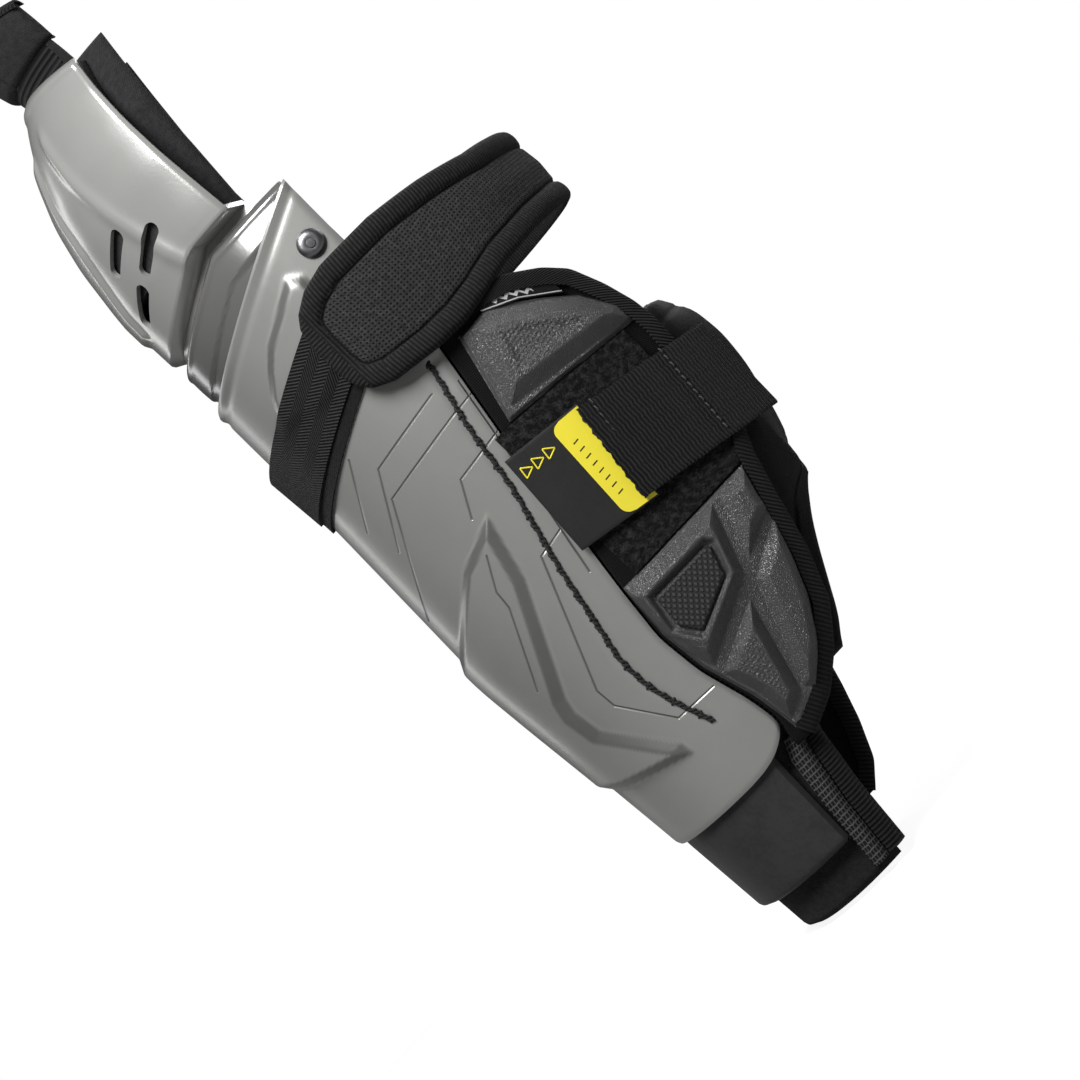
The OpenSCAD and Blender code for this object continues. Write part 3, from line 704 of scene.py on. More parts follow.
ribbed_tape = cloth("ribbed_tape", grey(0.003), grey(0.026), 0.8, ribbed(0.0019), 0.0008,
                    Sheen_Weight=0.03)
tape_front = ((-408, -18.5), (-379, -14.5), (-353, -8.5), (-345, -3.5))
tape_back = ((-408, -8), (-379, -4.5), (-353, 0.5), (-345, 4))
outer, inner = side_strip(tape_front, tape_back, -408, -350,
                          lambda u, v: 6.8 - 3.0 * np.sin(np.pi * u) ** 0.7, lambda u, v: 9.0 + 0 * u)
liner_tape = skin("liner_edge_tape", 18, 100, outer, inner, ribbed_tape, 60)
belongs(liner_tape, "shin", "binding", "liner_binding")

# ---- Elastic strap round the front ---------------------------------------------------------
# Flat black elastic, 27 mm wide and woven in herringbone, that runs round the front of the
# shell. A softer loop tape lies under it and shows along its lower edge.
strap_w, web_t, skin_gap = 27, 1.8, 0.25


def strap_middle(th):
    return -133 + 40 * (1 - np.cos(np.minimum(np.abs(th), np.pi / 2))) ** 0.8


def strap_face(low, high, thick, proud):
    """Faces of a band of the strap between two heights across it (-1 to 1)."""
    def place(u, v, up):
        th = np.radians(-90 + 182 * u)
        k = low + v * (high - low)
        z = strap_middle(th) + k * strap_w / 2
        y = shin_point(th, z, 0)[1]
        lip = lip_height(np.clip(th / edge_angle(z), -1, 1))
        over = np.maximum(0.6 * shell_lift(y, z, 0 * u + 0.5) * (z < lip - 3), 0)
        stand = np.cos(th) ** 4 * proud * (0.35 + 0.65 * (k + 1) / 2)
        return shin_point(th, z, -skin_gap - over - stand - up)
    return lambda u, v: place(u, v, thick), lambda u, v: place(u, v, 0)


def herringbone(tree, place):
    """Diagonal ribs that turn over at every column across the band."""
    parts = tree.nodes.new("ShaderNodeSeparateXYZ")
    tree.links.new(place, parts.inputs[0])
    column = maths(tree, "PINGPONG", parts.outputs["Y"], 0.0054)
    slant = maths(tree, "ADD", parts.outputs["X"], column)
    turned = put(tree, "ShaderNodeCombineXYZ", slant, parts.outputs["Y"])
    rib = ridged(tree, turned, (600.0, 0, 0))
    yarn = ridged(tree, place, (0, 2100.0, 0))
    fuzz = napped(tree, place, 2200.0, 0.5)
    body = maths(tree, "MULTIPLY_ADD", yarn, 0.2, rib)
    height = maths(tree, "MULTIPLY_ADD", fuzz, 0.3, body)
    return maths(tree, "MULTIPLY", rib, fuzz), height


elastic = cloth("herringbone_elastic", grey(0.002), grey(0.055), 0.62, herringbone, 0.0008,
                Sheen_Weight=0.022)
soft_loop = cloth("soft_loop_tape", grey(0.003), grey(0.013), 0.95, pores(1800.0, 0.7),
                  0.0006, Sheen_Weight=0.045)
outer, inner = strap_face(-1, 1, web_t, 3.2)
elastic_band = skin("front_elastic", 220, 14, outer, inner, elastic, 50)
outer, inner = strap_face(-1.42, -0.7, 0.9, 2.2)
under_band = skin("front_loop_tape", 220, 8, outer, inner, soft_loop, 50)
pick(elastic_band)
under_band.select_set(True)
bpy.ops.object.join()
belongs(elastic_band, "shin", "elastic", "front_strap")

# Sewn patch that holds the elastic and the knee wrap together on the shell's inner side
def anchor_face(drop):
    def place(u, v):
        th = np.radians(-86 + 7 * u)
        return shin_point(th, -130 + 14 * v, drop + 0.4 * (1 - np.sin(np.pi * u) ** 0.3))
    return place


strap_anchor = skin("strap_anchor_patch", 12, 20, anchor_face(-3.75), anchor_face(-0.6), soft_loop)
belongs(strap_anchor, "shin", "elastic", "strap_anchor")

# ---- Knee wrap -----------------------------------------------------------------------------
# One padded textile wrap: a rounded tab on the outer side that closes over the elastic, and a
# band that runs on behind the knee to the inner side. Open-mesh face, overlocked border.
wrap_drop, wrap_t = -3.8, 3.2
wrap_start, wrap_end = 67.8, 282
wrap_arc = 1.5                    # mm along the wrap for each degree round the leg
wrap_low = ((0, -113), (0.6, -118.5), (2.2, -123.5), (6, -127.8), (14.3, -132.2), (35.4, -135.6),
            (50, -136), (64, -134), (80.7, -130.5), (108, -128.5), (168, -127), (322, -126.5))
wrap_high = ((0, -101), (0.6, -95.5), (2.2, -90.5), (6, -86), (14.3, -81.5), (26, -79), (53, -79),
             (80, -82), (108, -86), (168, -88), (322, -88))
wrap_outline = list(wrap_low) + list(wrap_high)[::-1]
border_w = 9.5


def wrap_place(u, v):
    run = (wrap_end - wrap_start) * wrap_arc * u ** 1.5
    z = lookup(wrap_low, run) * (1 - v) + lookup(wrap_high, run) * v
    return np.radians(wrap_start) + np.radians(run / wrap_arc), z, run


def wrap_rim(u, v):
    _, z, run = wrap_place(u, v)
    return np.maximum(depth_in(wrap_outline, run, z), 0)


def wrap_run(u, v):
    """Distance along the border, for its overlock stitches."""
    _, z, run = wrap_place(u, v)
    return np.where(run < 7, (z + 107) * (1 - 2 * (z < -107)), run)


def wrap_face(u, v):
    th, z, run = wrap_place(u, v)
    rim = wrap_rim(u, v)
    roll = rounded(rim, 2.4)
    up = wrap_t - roll + 1.3 * np.sin(np.pi * np.clip(rim / border_w, 0, 1)) ** 0.8
    up -= 1.0 * np.exp(-((rim - border_w - 0.4) / 0.9) ** 2)
    up += 0.9 * ease((rim - border_w) / 12) + 0.25 * np.sin(run / 9) * np.sin(z / 7)
    return shin_point(th, z, wrap_drop - up - wrap_lift(run))


def wrap_lift(run):
    return 1.0 * (1 - ease((run - 30) / 25))


def wrap_under(u, v):
    th, z, run = wrap_place(u, v)
    rim = wrap_rim(u, v)
    return shin_point(th, z, wrap_drop - wrap_lift(run) - 0.5 * (1 - ease(rim / 1.5)))


wrap_cloth, wrap_tree, wrap_shader = plain_material("wrap_mesh", grey(0.02), 0.8,
                                                    Specular_IOR_Level=0.18, Sheen_Weight=0.018)
cloth_uv = coords(wrap_tree, "UV")
warp = ridged(wrap_tree, cloth_uv, (560.0, 0, 0))
weft = ridged(wrap_tree, cloth_uv, (0, 610.0, 0))
open_cell = maths(wrap_tree, "MULTIPLY", warp, weft)
hole = put(wrap_tree, "ShaderNodeMapRange", open_cell, 0.34, 0.62, 0.0, 1.0)
yarns = napped(wrap_tree, cloth_uv, 1900.0, 0.7)
hairy = put(wrap_tree, "ShaderNodeMapRange", yarns, 0.45, 1.05)
net = maths(wrap_tree, "SUBTRACT", 1.0, hole)
net_lit = maths(wrap_tree, "MULTIPLY", net, hairy)
rim_at = level_of(wrap_tree, "rim")
run_at = level_of(wrap_tree, "run")
in_border = put(wrap_tree, "ShaderNodeMapRange", rim_at, border_w - 0.6,
                border_w + 0.4, 1.0, 0.0)
run_place = put(wrap_tree, "ShaderNodeCombineXYZ", run_at, rim_at)
loops = ridged(wrap_tree, run_place, (0.62, 0.05, 0))
frayed = maths(wrap_tree, "MULTIPLY", loops, hairy)
border_lit = maths(wrap_tree, "MULTIPLY", frayed, 0.55)
seam = put(wrap_tree, "ShaderNodeMapRange", rim_at, border_w - 0.1, border_w + 1.1, 0.0, 1.0)
seam_line = maths(wrap_tree, "COMPARE", seam, 0.5, 0.4)
shown_lit = wrap_tree.nodes.new("ShaderNodeMix")
wrap_tree.links.new(in_border, shown_lit.inputs["Factor"])
wrap_tree.links.new(net_lit, shown_lit.inputs[2])
wrap_tree.links.new(border_lit, shown_lit.inputs[3])
off_seam = maths(wrap_tree, "SUBTRACT", 1.0, seam_line)
lit_mask = maths(wrap_tree, "MULTIPLY", shown_lit.outputs[0], off_seam)
tinted(wrap_tree, wrap_shader, lit_mask, grey(0.003), (0.075, 0.075, 0.073))
wrap_height = maths(wrap_tree, "MULTIPLY_ADD", yarns, 0.35, lit_mask)
bumped(wrap_tree, wrap_shader, wrap_height, 0.0008)

knee_wrap = skin("knee_wrap_pad", 300, 56, wrap_face, wrap_under, wrap_cloth, 50, rim=wrap_rim, run=wrap_run)
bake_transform(knee_wrap)
belongs(knee_wrap, None, "wrap_mesh", "wrap_tab", "wrap_border", "wrap_back")


def hooks(tree, place):
    rows = ridged(tree, place, (900.0, 0, 0))
    files = ridged(tree, place, (0, 900.0, 0))
    hook = maths(tree, "MULTIPLY", rows, files)
    return hook, hook


hook_tape = cloth("hook_tape", grey(0.006), grey(0.05), 0.5, hooks, 0.0009)


def hook_face(drop):
    def place(u, v):
        z = -119 + 22 * v
        return shin_point(shin_angle(-22 + 26 * u, z), z, drop)
    return place


wrap_hook = skin("wrap_hook_patch", 20, 16, hook_face(-4.75), hook_face(-4.2), hook_tape)
belongs(wrap_hook, "wrap", "hook", "wrap_hook")

# ---- Pivot rivets --------------------------------------------------------------------------
# Turned steel rivets through the shell, link and cap at each end of the knee's hinge line, with
# a domed head outside and a flat one inside.
steel, steel_tree, steel_shader = plain_material("rivet_steel", (0.28, 0.28, 0.29), 0.35, Metallic=1.0)
turned_at = coords(steel_tree)
worn_steel = use_group(steel_tree, handling, Vector=turned_at, Scale=160.0, Amount=0.5)
steel_rough = maths(steel_tree, "MULTIPLY", worn_steel["Gloss"], 0.35)
steel_tree.links.new(steel_rough, steel_shader.inputs["Roughness"])
bumped(steel_tree, steel_shader, worn_steel["Gloss"], 0.0001)

rivet_line = ((0, 82.4), (1.8, 82.3), (2.0, 81.7), (3.6, 81.9), (5.2, 81.2), (6.0, 80.3), (3.0, 80.2),
              (3.0, 69.4), (5.6, 69.3), (6.0, 68.7), (5.6, 67.9), (0, 67.8))


def turned_rivet(side):
    """The rivet's half outline spun about the hinge line."""
    mesh = bpy.data.meshes.new("rivet")
    places = [(side * x * MM, (pivot_y + r) * MM, pivot_z * MM) for r, x in rivet_line]
    mesh.from_pydata(places, [(k, k + 1) for k in range(len(places) - 1)], [])
    piece = bpy.data.objects.new("rivet_outer" if side > 0 else "rivet_inner", mesh)
    bpy.context.scene.collection.objects.link(piece)
    pick(piece)
    bpy.ops.object.mode_set(mode="EDIT")
    bpy.ops.mesh.select_all(action="SELECT")
    bpy.ops.mesh.spin(steps=40, angle=2 * math.pi, center=(0, pivot_y * MM, pivot_z * MM), axis=(1, 0, 0))
    bpy.ops.mesh.select_all(action="SELECT")
    bpy.ops.mesh.remove_doubles(threshold=1e-6)
    bpy.ops.mesh.normals_make_consistent(inside=False)
    bpy.ops.object.mode_set(mode="OBJECT")
    piece.data.materials.append(steel)
    bpy.ops.object.shade_smooth_by_angle(angle=math.radians(35))
    return piece


rivets = [turned_rivet(side) for side in (1, -1)]
for rivet in rivets:
    belongs(rivet, "shin", "rivet", "pivot_rivets")

# ---- Knee link -----------------------------------------------------------------------------
# A glossy curved plate between the shell and the knee cap. It slides over the cap's rim and
# under the shell's lip when the knee bends, and hangs on the two rivets.
link_r, cap_r = 75.8, 72.6
ear = math.radians(98)


def ball_point(th, z, r):
    q = np.sqrt(r * r - (z - pivot_z) ** 2)
    return q * np.sin(th), pivot_y - q * np.cos(th), z


def link_top(th):
    return np.minimum(-42, -62 + 36 * (1 - np.cos(th)))


def link_face(u, v):
    s = 2 * u - 1
    th = s * ear
    low, top = -104 + 16 * np.abs(s) ** 4, link_top(th)
    z = low + v * (top - low)
    below = top - z
    r = link_r - 1.3 * (1 - ease(below / 1.8)) + 0.5 * np.exp(-((below - 2.6) / 1.2) ** 2)
    r = r - 1.1 * ease((below - 13 - 2 * np.cos(th)) / 1.4)
    return ball_point(th, z, r - 1.0 * (1 - ease((1 - np.abs(s)) * 130 / 2)))


def link_under(u, v):
    s = 2 * u - 1
    th = s * ear
    low, top = -104 + 16 * np.abs(s) ** 4, link_top(th)
    return ball_point(th, low + v * (top - low), link_r - shell_t)


link_gloss = shell_finish("link_gloss", (0.20, 0.20, 0.195), 0.20, ())
knee_link = skin("knee_link_plate", 170, 60, link_face, link_under, link_gloss)
belongs(knee_link, "link", "link", "knee_link")

# ---- Knee cap ------------------------------------------------------------------------------
# Moulded dome over the kneecap, silver grey as the shell, with a rim below that stays under the
# link, a raised middle panel, and three long vents each side over dark foam.
dome_r = ((-62, 76.6), (-40, 77), (-25, 77), (0, 75.5), (20, 72), (40, 65), (55, 57), (64, 50))
dome_c = ((-30, -3), (64, 6))
dome_deg = ((-62, 82), (-30, 80), (0, 76), (64, 68))
rim_share = 0.22


def dome_point(th, z, drop):
    q = smooth_at(dome_r, z, 6) - drop
    return q * np.sin(th), lookup(dome_c, z) - q * np.cos(th), z


def cap_face(drop, lift, relief):
    def place(u, v):
        s = 2 * u - 1
        rim = np.clip(v / rim_share, 0, 1)
        th_rim = s * np.radians(98 - 14 * rim)
        z_rim = (-80 - 2 * s ** 4) * (1 - rim) + (link_top(th_rim) + 4 + lift) * rim
        up = np.clip((v - rim_share) / (1 - rim_share), 0, 1)
        start = link_top(s * math.radians(82)) + 5.6 + lift
        z_dome = start * (1 - up) + (64 - 9 * s * s) * up
        th_dome = s * np.radians(lookup(dome_deg, z_dome))
        low = np.stack(np.broadcast_arrays(*ball_point(th_rim, z_rim, cap_r - drop)))
        sunk = drop - relief(th_dome, z_dome, s, up)
        high = np.stack(np.broadcast_arrays(*dome_point(th_dome, z_dome, sunk)))
        return tuple(np.where(v < rim_share + 1e-6, low, high))
    return place


def cap_relief(th, z, s, up):
    deg = np.degrees(np.abs(th))
    panel = 1.8 * ease((24 - 0.12 * np.abs(z) - deg) / 3.5) * ease((z + 44) / 5) * ease((47 - z) / 6)
    brow = 1.4 * np.exp(-((deg - 60 + 0.30 * (z + 40)) / 3.0) ** 2)
    brow *= ease((z + 50) / 10) * ease((52 - z) / 10)
    lip = 1.0 * np.exp(-((1 - up) * 110 - 3) ** 2 / 4) - 1.4 * (1 - ease((1 - up) * 110 / 1.6))
    side = -1.4 * (1 - ease((1 - np.abs(s)) * 95 / 2))
    foot = -1.2 * (1 - ease(up * 100 / 1.8))
    return panel + brow + lip + side + foot


cap_silver = shell_finish("cap_silver", (0.44, 0.44, 0.425), 0.24, ())
knee_cap = skin("knee_cap_dome", 170, 150, cap_face(0, 0, cap_relief),
                cap_face(shell_t, shell_t, lambda th, z, s, up: 0), cap_silver)
vents = ((30, -34), (50, -22), (38, -12))
vent_turn = 24
vent_points = 32
cut_faces, cut_places = [], []
for side in (-1, 1):
    for deg, z in vents:
        turn = Matrix.Rotation(math.radians(side * deg), 4, "Z") @ Matrix.Rotation(math.pi / 2, 4, "X") \
            @ Matrix.Rotation(math.radians(side * vent_turn), 4, "Z")
        ring = []
        for k in range(vent_points):
            at = 2 * math.pi * k / vent_points
            end, r = (9, 3.4) if math.cos(at) > 0 else (-9, 3.0)
            ring.append((end + r * math.cos(at), r * math.sin(at)))
        first = len(cut_places)
        for depth in (40, 92):
            cut_places += [tuple((turn @ Vector((x, y, depth)) + Vector((0, 0, z))) * MM) for x, y in ring]
        near, far = first + np.arange(vent_points), first + vent_points + np.arange(vent_points)
        cut_faces += np.stack([near, np.roll(near, -1), np.roll(far, -1), far], 1).tolist()
        cut_faces += [near[::-1].tolist(), far.tolist()]
cutter_mesh = bpy.data.meshes.new("vent_cutter")
cutter_mesh.from_pydata(cut_places, [], cut_faces)
cutter = bpy.data.objects.new("vent_cutter", cutter_mesh)
bpy.context.scene.collection.objects.link(cutter)
pick(knee_cap)
opened = knee_cap.modifiers.new("vents", "BOOLEAN")
opened.operation, opened.object, opened.solver = "DIFFERENCE", cutter, "EXACT"
bpy.ops.object.modifier_apply(modifier="vents")
bpy.data.objects.remove(cutter)
bpy.ops.object.shade_smooth_by_angle(angle=math.radians(40))
belongs(knee_cap, "cap", "shell", "knee_cap")

# ---- Knee foam and liner -------------------------------------------------------------------
# Dark foam behind the cap shows through its vents. The quilted liner of the same knit as the
# shin's pads the kneecap, and a stretch gusset joins it to the shin liner and to the thigh flap.
def foam_face(drop):
    def place(u, v):
        z = -31 + 83 * v
        return dome_point(np.radians(-70 + 140 * u), z, drop)
    return place


knee_foam = skin("knee_foam_pad", 60, 50, foam_face(shell_t + 1), foam_face(shell_t + 1 + foam_t),
                 carcass_foam, 50)
belongs(knee_foam, "cap", "foam", "knee_foam")


def liner_round(z):
    return np.minimum(smooth_at(dome_r, z, 6) - 10, 61.5) - np.where(z < -60, ((-60 - z) / 40) ** 2 * 6, 0)


def knee_liner_face(out):
    def place(u, v):
        s, z = 2 * u - 1, -100 + 156 * v
        th = s * math.radians(84)
        span = np.minimum((1 - np.abs(s)) * 85, np.minimum(v, 1 - v) * 156)
        inset = rounded(span, 3.0)
        q = liner_round(z) - (inset if out else liner_t + 0.8 - inset - quilt(s, z, 1.5, 40.0))
        return q * np.sin(th), lookup(dome_c, z) - q * np.cos(th), z
    return place


knee_liner = skin("knee_liner_pad", 100, 110, knee_liner_face(True), knee_liner_face(False), liner_knit, 60)
belongs(knee_liner, "cap", "liner", "knee_liner")


def gusset(low_ring, high_ring, reach_deg, slack):
    """A sheet between two rings of (radius, centre y, z), bowed outwards at mid height."""
    def place(thick):
        def at(u, v):
            th = np.radians(reach_deg) * (2 * u - 1)
            q, c, z = (low_ring[k] * (1 - v) + high_ring[k] * v for k in range(3))
            q = q + slack * np.sin(np.pi * v) + 0.5 * slack * np.sin(3 * np.pi * v) + thick
            return q * np.sin(th), c - q * np.cos(th), z + 0 * th
        return at
    return place(0.5), place(-0.5)


def stretch_rows(tree, place):
    rows = ridged(tree, place, (0, 420.0, 0))
    fuzz = napped(tree, place, 1800.0, 0.6)
    return maths(tree, "MULTIPLY", rows, fuzz), \
        maths(tree, "MULTIPLY_ADD", fuzz, 0.4, rows)


stretch_knit = cloth("stretch_knit", grey(0.006), (0.022, 0.022, 0.023), 0.9, stretch_rows, 0.0006,
                     Sheen_Weight=0.03)
outer, inner = gusset((66.5, -0.5, -115), (54.5, -3, -95), 66, 1.2)
knee_gusset = skin("knee_gusset_sheet", 90, 24, outer, inner, stretch_knit, 60)
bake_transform(knee_gusset)
belongs(knee_gusset, None, "liner")
outer, inner = gusset((47.5, 5.2, 50), (47.6, 6, 74), 60, 1.6)
thigh_gusset = skin("thigh_gusset_sheet", 80, 24, outer, inner, stretch_knit, 60)
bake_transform(thigh_gusset)
belongs(thigh_gusset, None, "liner")

# ---- Thigh flap ----------------------------------------------------------------------------
# Padded flap above the knee: foam between two faces of black knit, crossed by two sewn
# channels, with ribbed tape bound over its free edge.
flap_t = 7


def flap_point(s, z, drop):
    q, th = 52 + (z - 69) * 0.15 - drop, s * math.radians(66)
    return q * np.sin(th), 6 - q * np.cos(th), z


def flap_face(out):
    def place(u, v):
        s = 2 * u - 1
        z = 69 + v * 0.93 * (29 - 8 * np.abs(s) ** 3)
        span = np.minimum((1 - np.abs(s)) * 60, np.minimum(v, 1.02 - v) * 27)
        inset = rounded(span, 3.2)
        sewn = 1.6 * np.exp(-((np.abs(s) - 0.38) * 60 / 2.2) ** 2)
        crown = 1.2 * np.sin(np.pi * np.clip(v, 0, 1))
        return flap_point(s, z, inset + sewn - crown if out else flap_t - inset + 0.5 * crown)
    return place


flap_knit = cloth("flap_knit", grey(0.007), (0.024, 0.024, 0.025), 0.85, brushed, 0.0004, Sheen_Weight=0.03)
thigh_flap = skin("thigh_flap_pad", 110, 40, flap_face(True), flap_face(False), flap_knit, 60)
belongs(thigh_flap, "thigh", "liner", "thigh_flap")


def flap_tape(out):
    """Tape turned over the flap's top edge: round outside, flat inside."""
    def place(u, v):
        s = 2 * v - 1
        turn = math.pi * u
        top = 69 + 29 - 8 * np.abs(s) ** 3
        r = 4.6 if out else 3.4
        return flap_point(s * 1.01, top - 3.6 + (r - 1) * np.sin(turn), 3.5 - r * np.cos(turn))
    return place


thigh_tape = skin("thigh_edge_tape", 16, 150, flap_tape(True), flap_tape(False), ribbed_tape, 60)
belongs(thigh_tape, "thigh", "binding", "thigh_binding")

# ---- Calf wings ----------------------------------------------------------------------------
# A padded textile wing on each side wraps the calf: foam 6.5 mm thick between black knit faces,
# cut as part of a cone, tucked under the shell's edge and hinged there by a stretch gusset.
wing_x, wing_y, wing_t = -40, 8, 6.5
wing_r = ((-412, 97), (-346, 99.5), (-279, 111.4), (-214, 115.7), (-150, 118.8), (-100, 119))
wing_top, outer_low, inner_low = -130, -350, -398
outer_back = ((-350, -6), (-343, 10), (-332, 24), (-317, 37), (-296, 46), (-272, 53), (-254, 59), (-240, 66),
              (-189, 70.5), (-178, 69.4), (-165, 66), (-151, 60.5), (-143, 53), (-134, 40), (-130, 26))
inner_back = ((-398, -5), (-388, 5), (-372, 13), (-356, 19), (-340, 24), (-320, 36), (-296, 46),
              (-272, 55), (-250, 63), (-189, 70), (-178, 69), (-165, 66), (-151, 60.5), (-143, 53),
              (-134, 40), (-130, 26))


def wing_turn(y, z):
    return np.arcsin(np.clip((y - wing_y) / smooth_at(wing_r, z), -1, 1))


def wing_point(turn, z, up):
    r = smooth_at(wing_r, z) + up
    return wing_x + r * np.cos(turn), wing_y + r * np.sin(turn), z


def on_wing(y, z, up):
    return wing_point(wing_turn(y, z), z, up)


def wing_front(z):
    return smooth_at(edge_y, np.maximum(z, -346), 5.0) + 1


def mirrored(shape):
    """The same shape on the inner side of the leg."""
    def flipped(u, v):
        x, y, z = shape(1 - u, v)
        return -x, y, z
    return flipped


def on_side(side, shape):
    return shape if side > 0 else mirrored(shape)


def wing_face(back, bottom, out):
    def place(u, v):
        z = bottom + v * (wing_top - bottom)
        front, rear = wing_front(z), smooth_at(back, z, 3.0)
        y = front * (1 - u) + rear * u
        span = np.minimum(np.minimum(rear - y, (wing_top - z)), z - bottom + 1)
        inset = rounded(span, 3.0) + 0.6 * rounded(y - front, 1.4)
        soft = 0.35 * np.sin(y / 9 + z / 23) + 0.25 * np.sin(z / 11)
        return on_wing(y, z, (soft * (1 - ease(inset)) - inset) if out else inset - wing_t)
    return place


def knit(tree, place):
    warp_rows = ridged(tree, place, (1150.0, 0, 0))
    weft_rows = ridged(tree, place, (0, 1150.0, 0))
    fuzz = napped(tree, place, 1700.0, 0.7)
    cells = maths(tree, "MULTIPLY", warp_rows, weft_rows)
    return maths(tree, "MULTIPLY", cells, fuzz), \
        maths(tree, "MULTIPLY_ADD", fuzz, 0.6, cells)


wing_knit = cloth("wing_knit", grey(0.003), grey(0.014), 0.85, knit, 0.0004, Sheen_Weight=0.018)
face, under = (wing_face(outer_back, outer_low, out) for out in (True, False))
wing_lateral = skin("wing_outer_pad", 80, 130, face, under, wing_knit, 60)
face, under = (wing_face(inner_back, inner_low, out) for out in (True, False))
wing_medial = skin("wing_inner_pad", 80, 150, mirrored(face), mirrored(under), wing_knit, 60)
for wing, body, node in ((wing_lateral, "wing_outer", "wing_lateral"),
                         (wing_medial, "wing_inner", "wing_medial")):
    belongs(wing, body, "wing", node)


def wing_gusset_face(thick):
    def place(u, v):
        z = -340 + 200 * v
        y = wing_front(z) - 8 + 26 * u
        x0, y0, _ = shin_point(shin_angle(y, z), z, 8.95 - thick)
        x1, y1, _ = on_wing(y, z, thick - 7.05)
        share = ease((u - 0.15) / 0.35)
        return x0 * (1 - share) + x1 * share, y0 * (1 - share) + y1 * share, z
    return place


for side, body, wing_node in ((1, "wing_outer", "wing_lateral"), (-1, "wing_inner", "wing_medial")):
    sheet = skin(f"{body}_gusset", 26, 90, on_side(side, wing_gusset_face(0.2)),
                 on_side(side, wing_gusset_face(-0.2)), stretch_knit, 60)
    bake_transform(sheet)
    belongs(sheet, None, "wing")

# ---- Wing edge tape ------------------------------------------------------------------------
# Ribbed black tape, folded over each wing's top and back edge and sewn through, about 7 mm wide
# on the outer face.
def tape_face(back, shrink):
    line = np.array([(y, z) for z, y in back] + [(12, wing_top + 0.5), (4, wing_top + 1)], float)
    steps = np.linspace(0, 1, 400)
    run = np.concatenate([[0], np.cumsum(np.hypot(*np.diff(line, axis=0).T))])
    ys, zs = (np.interp(steps * run[-1], run, line[:, k]) for k in (0, 1))
    for _ in range(6):
        ys[1:-1], zs[1:-1] = (ys[:-2] + ys[1:-1] * 2 + ys[2:]) / 4, (zs[:-2] + zs[1:-1] * 2 + zs[2:]) / 4
    ty, tz = np.gradient(ys), np.gradient(zs)
    length = np.hypot(ty, tz)
    ny, nz = -tz / length, ty / length

    def place(u, v):
        turn = np.pi * u
        inward = 6.4 - (8.0 - shrink) * np.sin(turn) ** 0.7
        up = -2.4 + (4.7 - shrink) * np.sign(np.cos(turn)) * np.abs(np.cos(turn)) ** 0.7
        y, z, py, pz = (np.interp(v, steps, k) for k in (ys, zs, ny, nz))
        return on_wing(y + py * inward, z + pz * inward, up)
    return place


for side, body, back, along, node in ((1, "wing_outer", outer_back, 260, "binding_lateral"),
                                      (-1, "wing_inner", inner_back, 280, "binding_medial")):
    tape = skin(f"{body}_tape", 26, along, on_side(side, tape_face(back, 0)),
                on_side(side, tape_face(back, 1.1)), ribbed_tape, 60)
    belongs(tape, body, "binding", node)

# ---- Moulded pads --------------------------------------------------------------------------
# Compression-moulded foam pads with a leather-grain skin, glued on the wings. Above the strap a
# half-moon with a field of raised dots; below it cells with broad bevels, an X of grooves between
# them, a five-sided recess for the grip insert and another dotted field.
pad_flange, pad_lift = 1.6, 4.2
upper_low, upper_high, lower_low, lower_high = -183, -138, -344, -254.5
upper_front = ((-183, 62), (-176, 0), (-139, 10))
upper_rear = ((-183, 64.3), (-174, 64), (-160.5, 56), (-151, 45), (-143, 34), (-138, 24))
upper_shape = [(0, -176), (10.6, -138), (25.4, -137.6), (45.2, -151), (56.2, -160.3), (64.2, -173.9),
               (64.3, -183)]
upper_crest = [(4.3, -172.2), (15.5, -139.2), (25.7, -138.9), (44.5, -151.6), (55.4, -160.9),
               (63, -174), (63, -181.6)]
lower_front = ((-344, -9), (-336, -9.5), (-322, -11.5), (-300, -17.2), (-279, -19), (-254.5, -16.5))
lower_rear = ((-344, -3), (-340, 8), (-332, 17.5), (-323, 25), (-310, 33.5), (-294, 40.5), (-276, 46.5),
              (-268, 48), (-254.5, 52.5))
lower_shape = [(-16.5, -254.5), (52.5, -254.5), (48, -268), (46.5, -276), (40.5, -294), (33.5, -310),
               (25, -323), (17.5, -332), (8, -340), (-3, -344), (-9, -344), (-9.5, -336), (-11.5, -322),
               (-17.2, -300), (-19, -279)]
cell_left = [(-17.7, -256.4), (32.0, -256.4), (21.1, -284.9), (-13.5, -302.5), (-17.5, -290), (-18.6, -274)]
cell_top = [(36, -256.2), (50.8, -256.2), (46.4, -273.8), (26.6, -282.3)]
cell_right = [(45.6, -278), (39.5, -295), (32.8, -310.3), (22.3, -326.4), (8.8, -337.8),
              (5.2, -334.2), (22.5, -290.4)]
cell_low = [(15.2, -293.8), (3.5, -334.4), (-7.6, -340), (-8.6, -323.6), (-13, -307.1)]
recess = [(-11.3, -263.8), (19.0, -263.8), (21.2, -267.1), (17.0, -280.5), (-7.7, -291.0), (-14.6, -280.3)]
insert_shape = [(-9.9, -266), (16.9, -266), (19.1, -268), (15.0, -279.8), (-6.0, -289.1), (-11.7, -280.8)]


def upper_relief(y, z):
    rim = depth_in(upper_shape, y, z)
    crest = depth_in(upper_crest, y, z)
    return pad_flange * ease(rim / 1.6) + pad_lift * bevel(crest / 7.5) - 0.7 * ease((crest - 9) / 3)


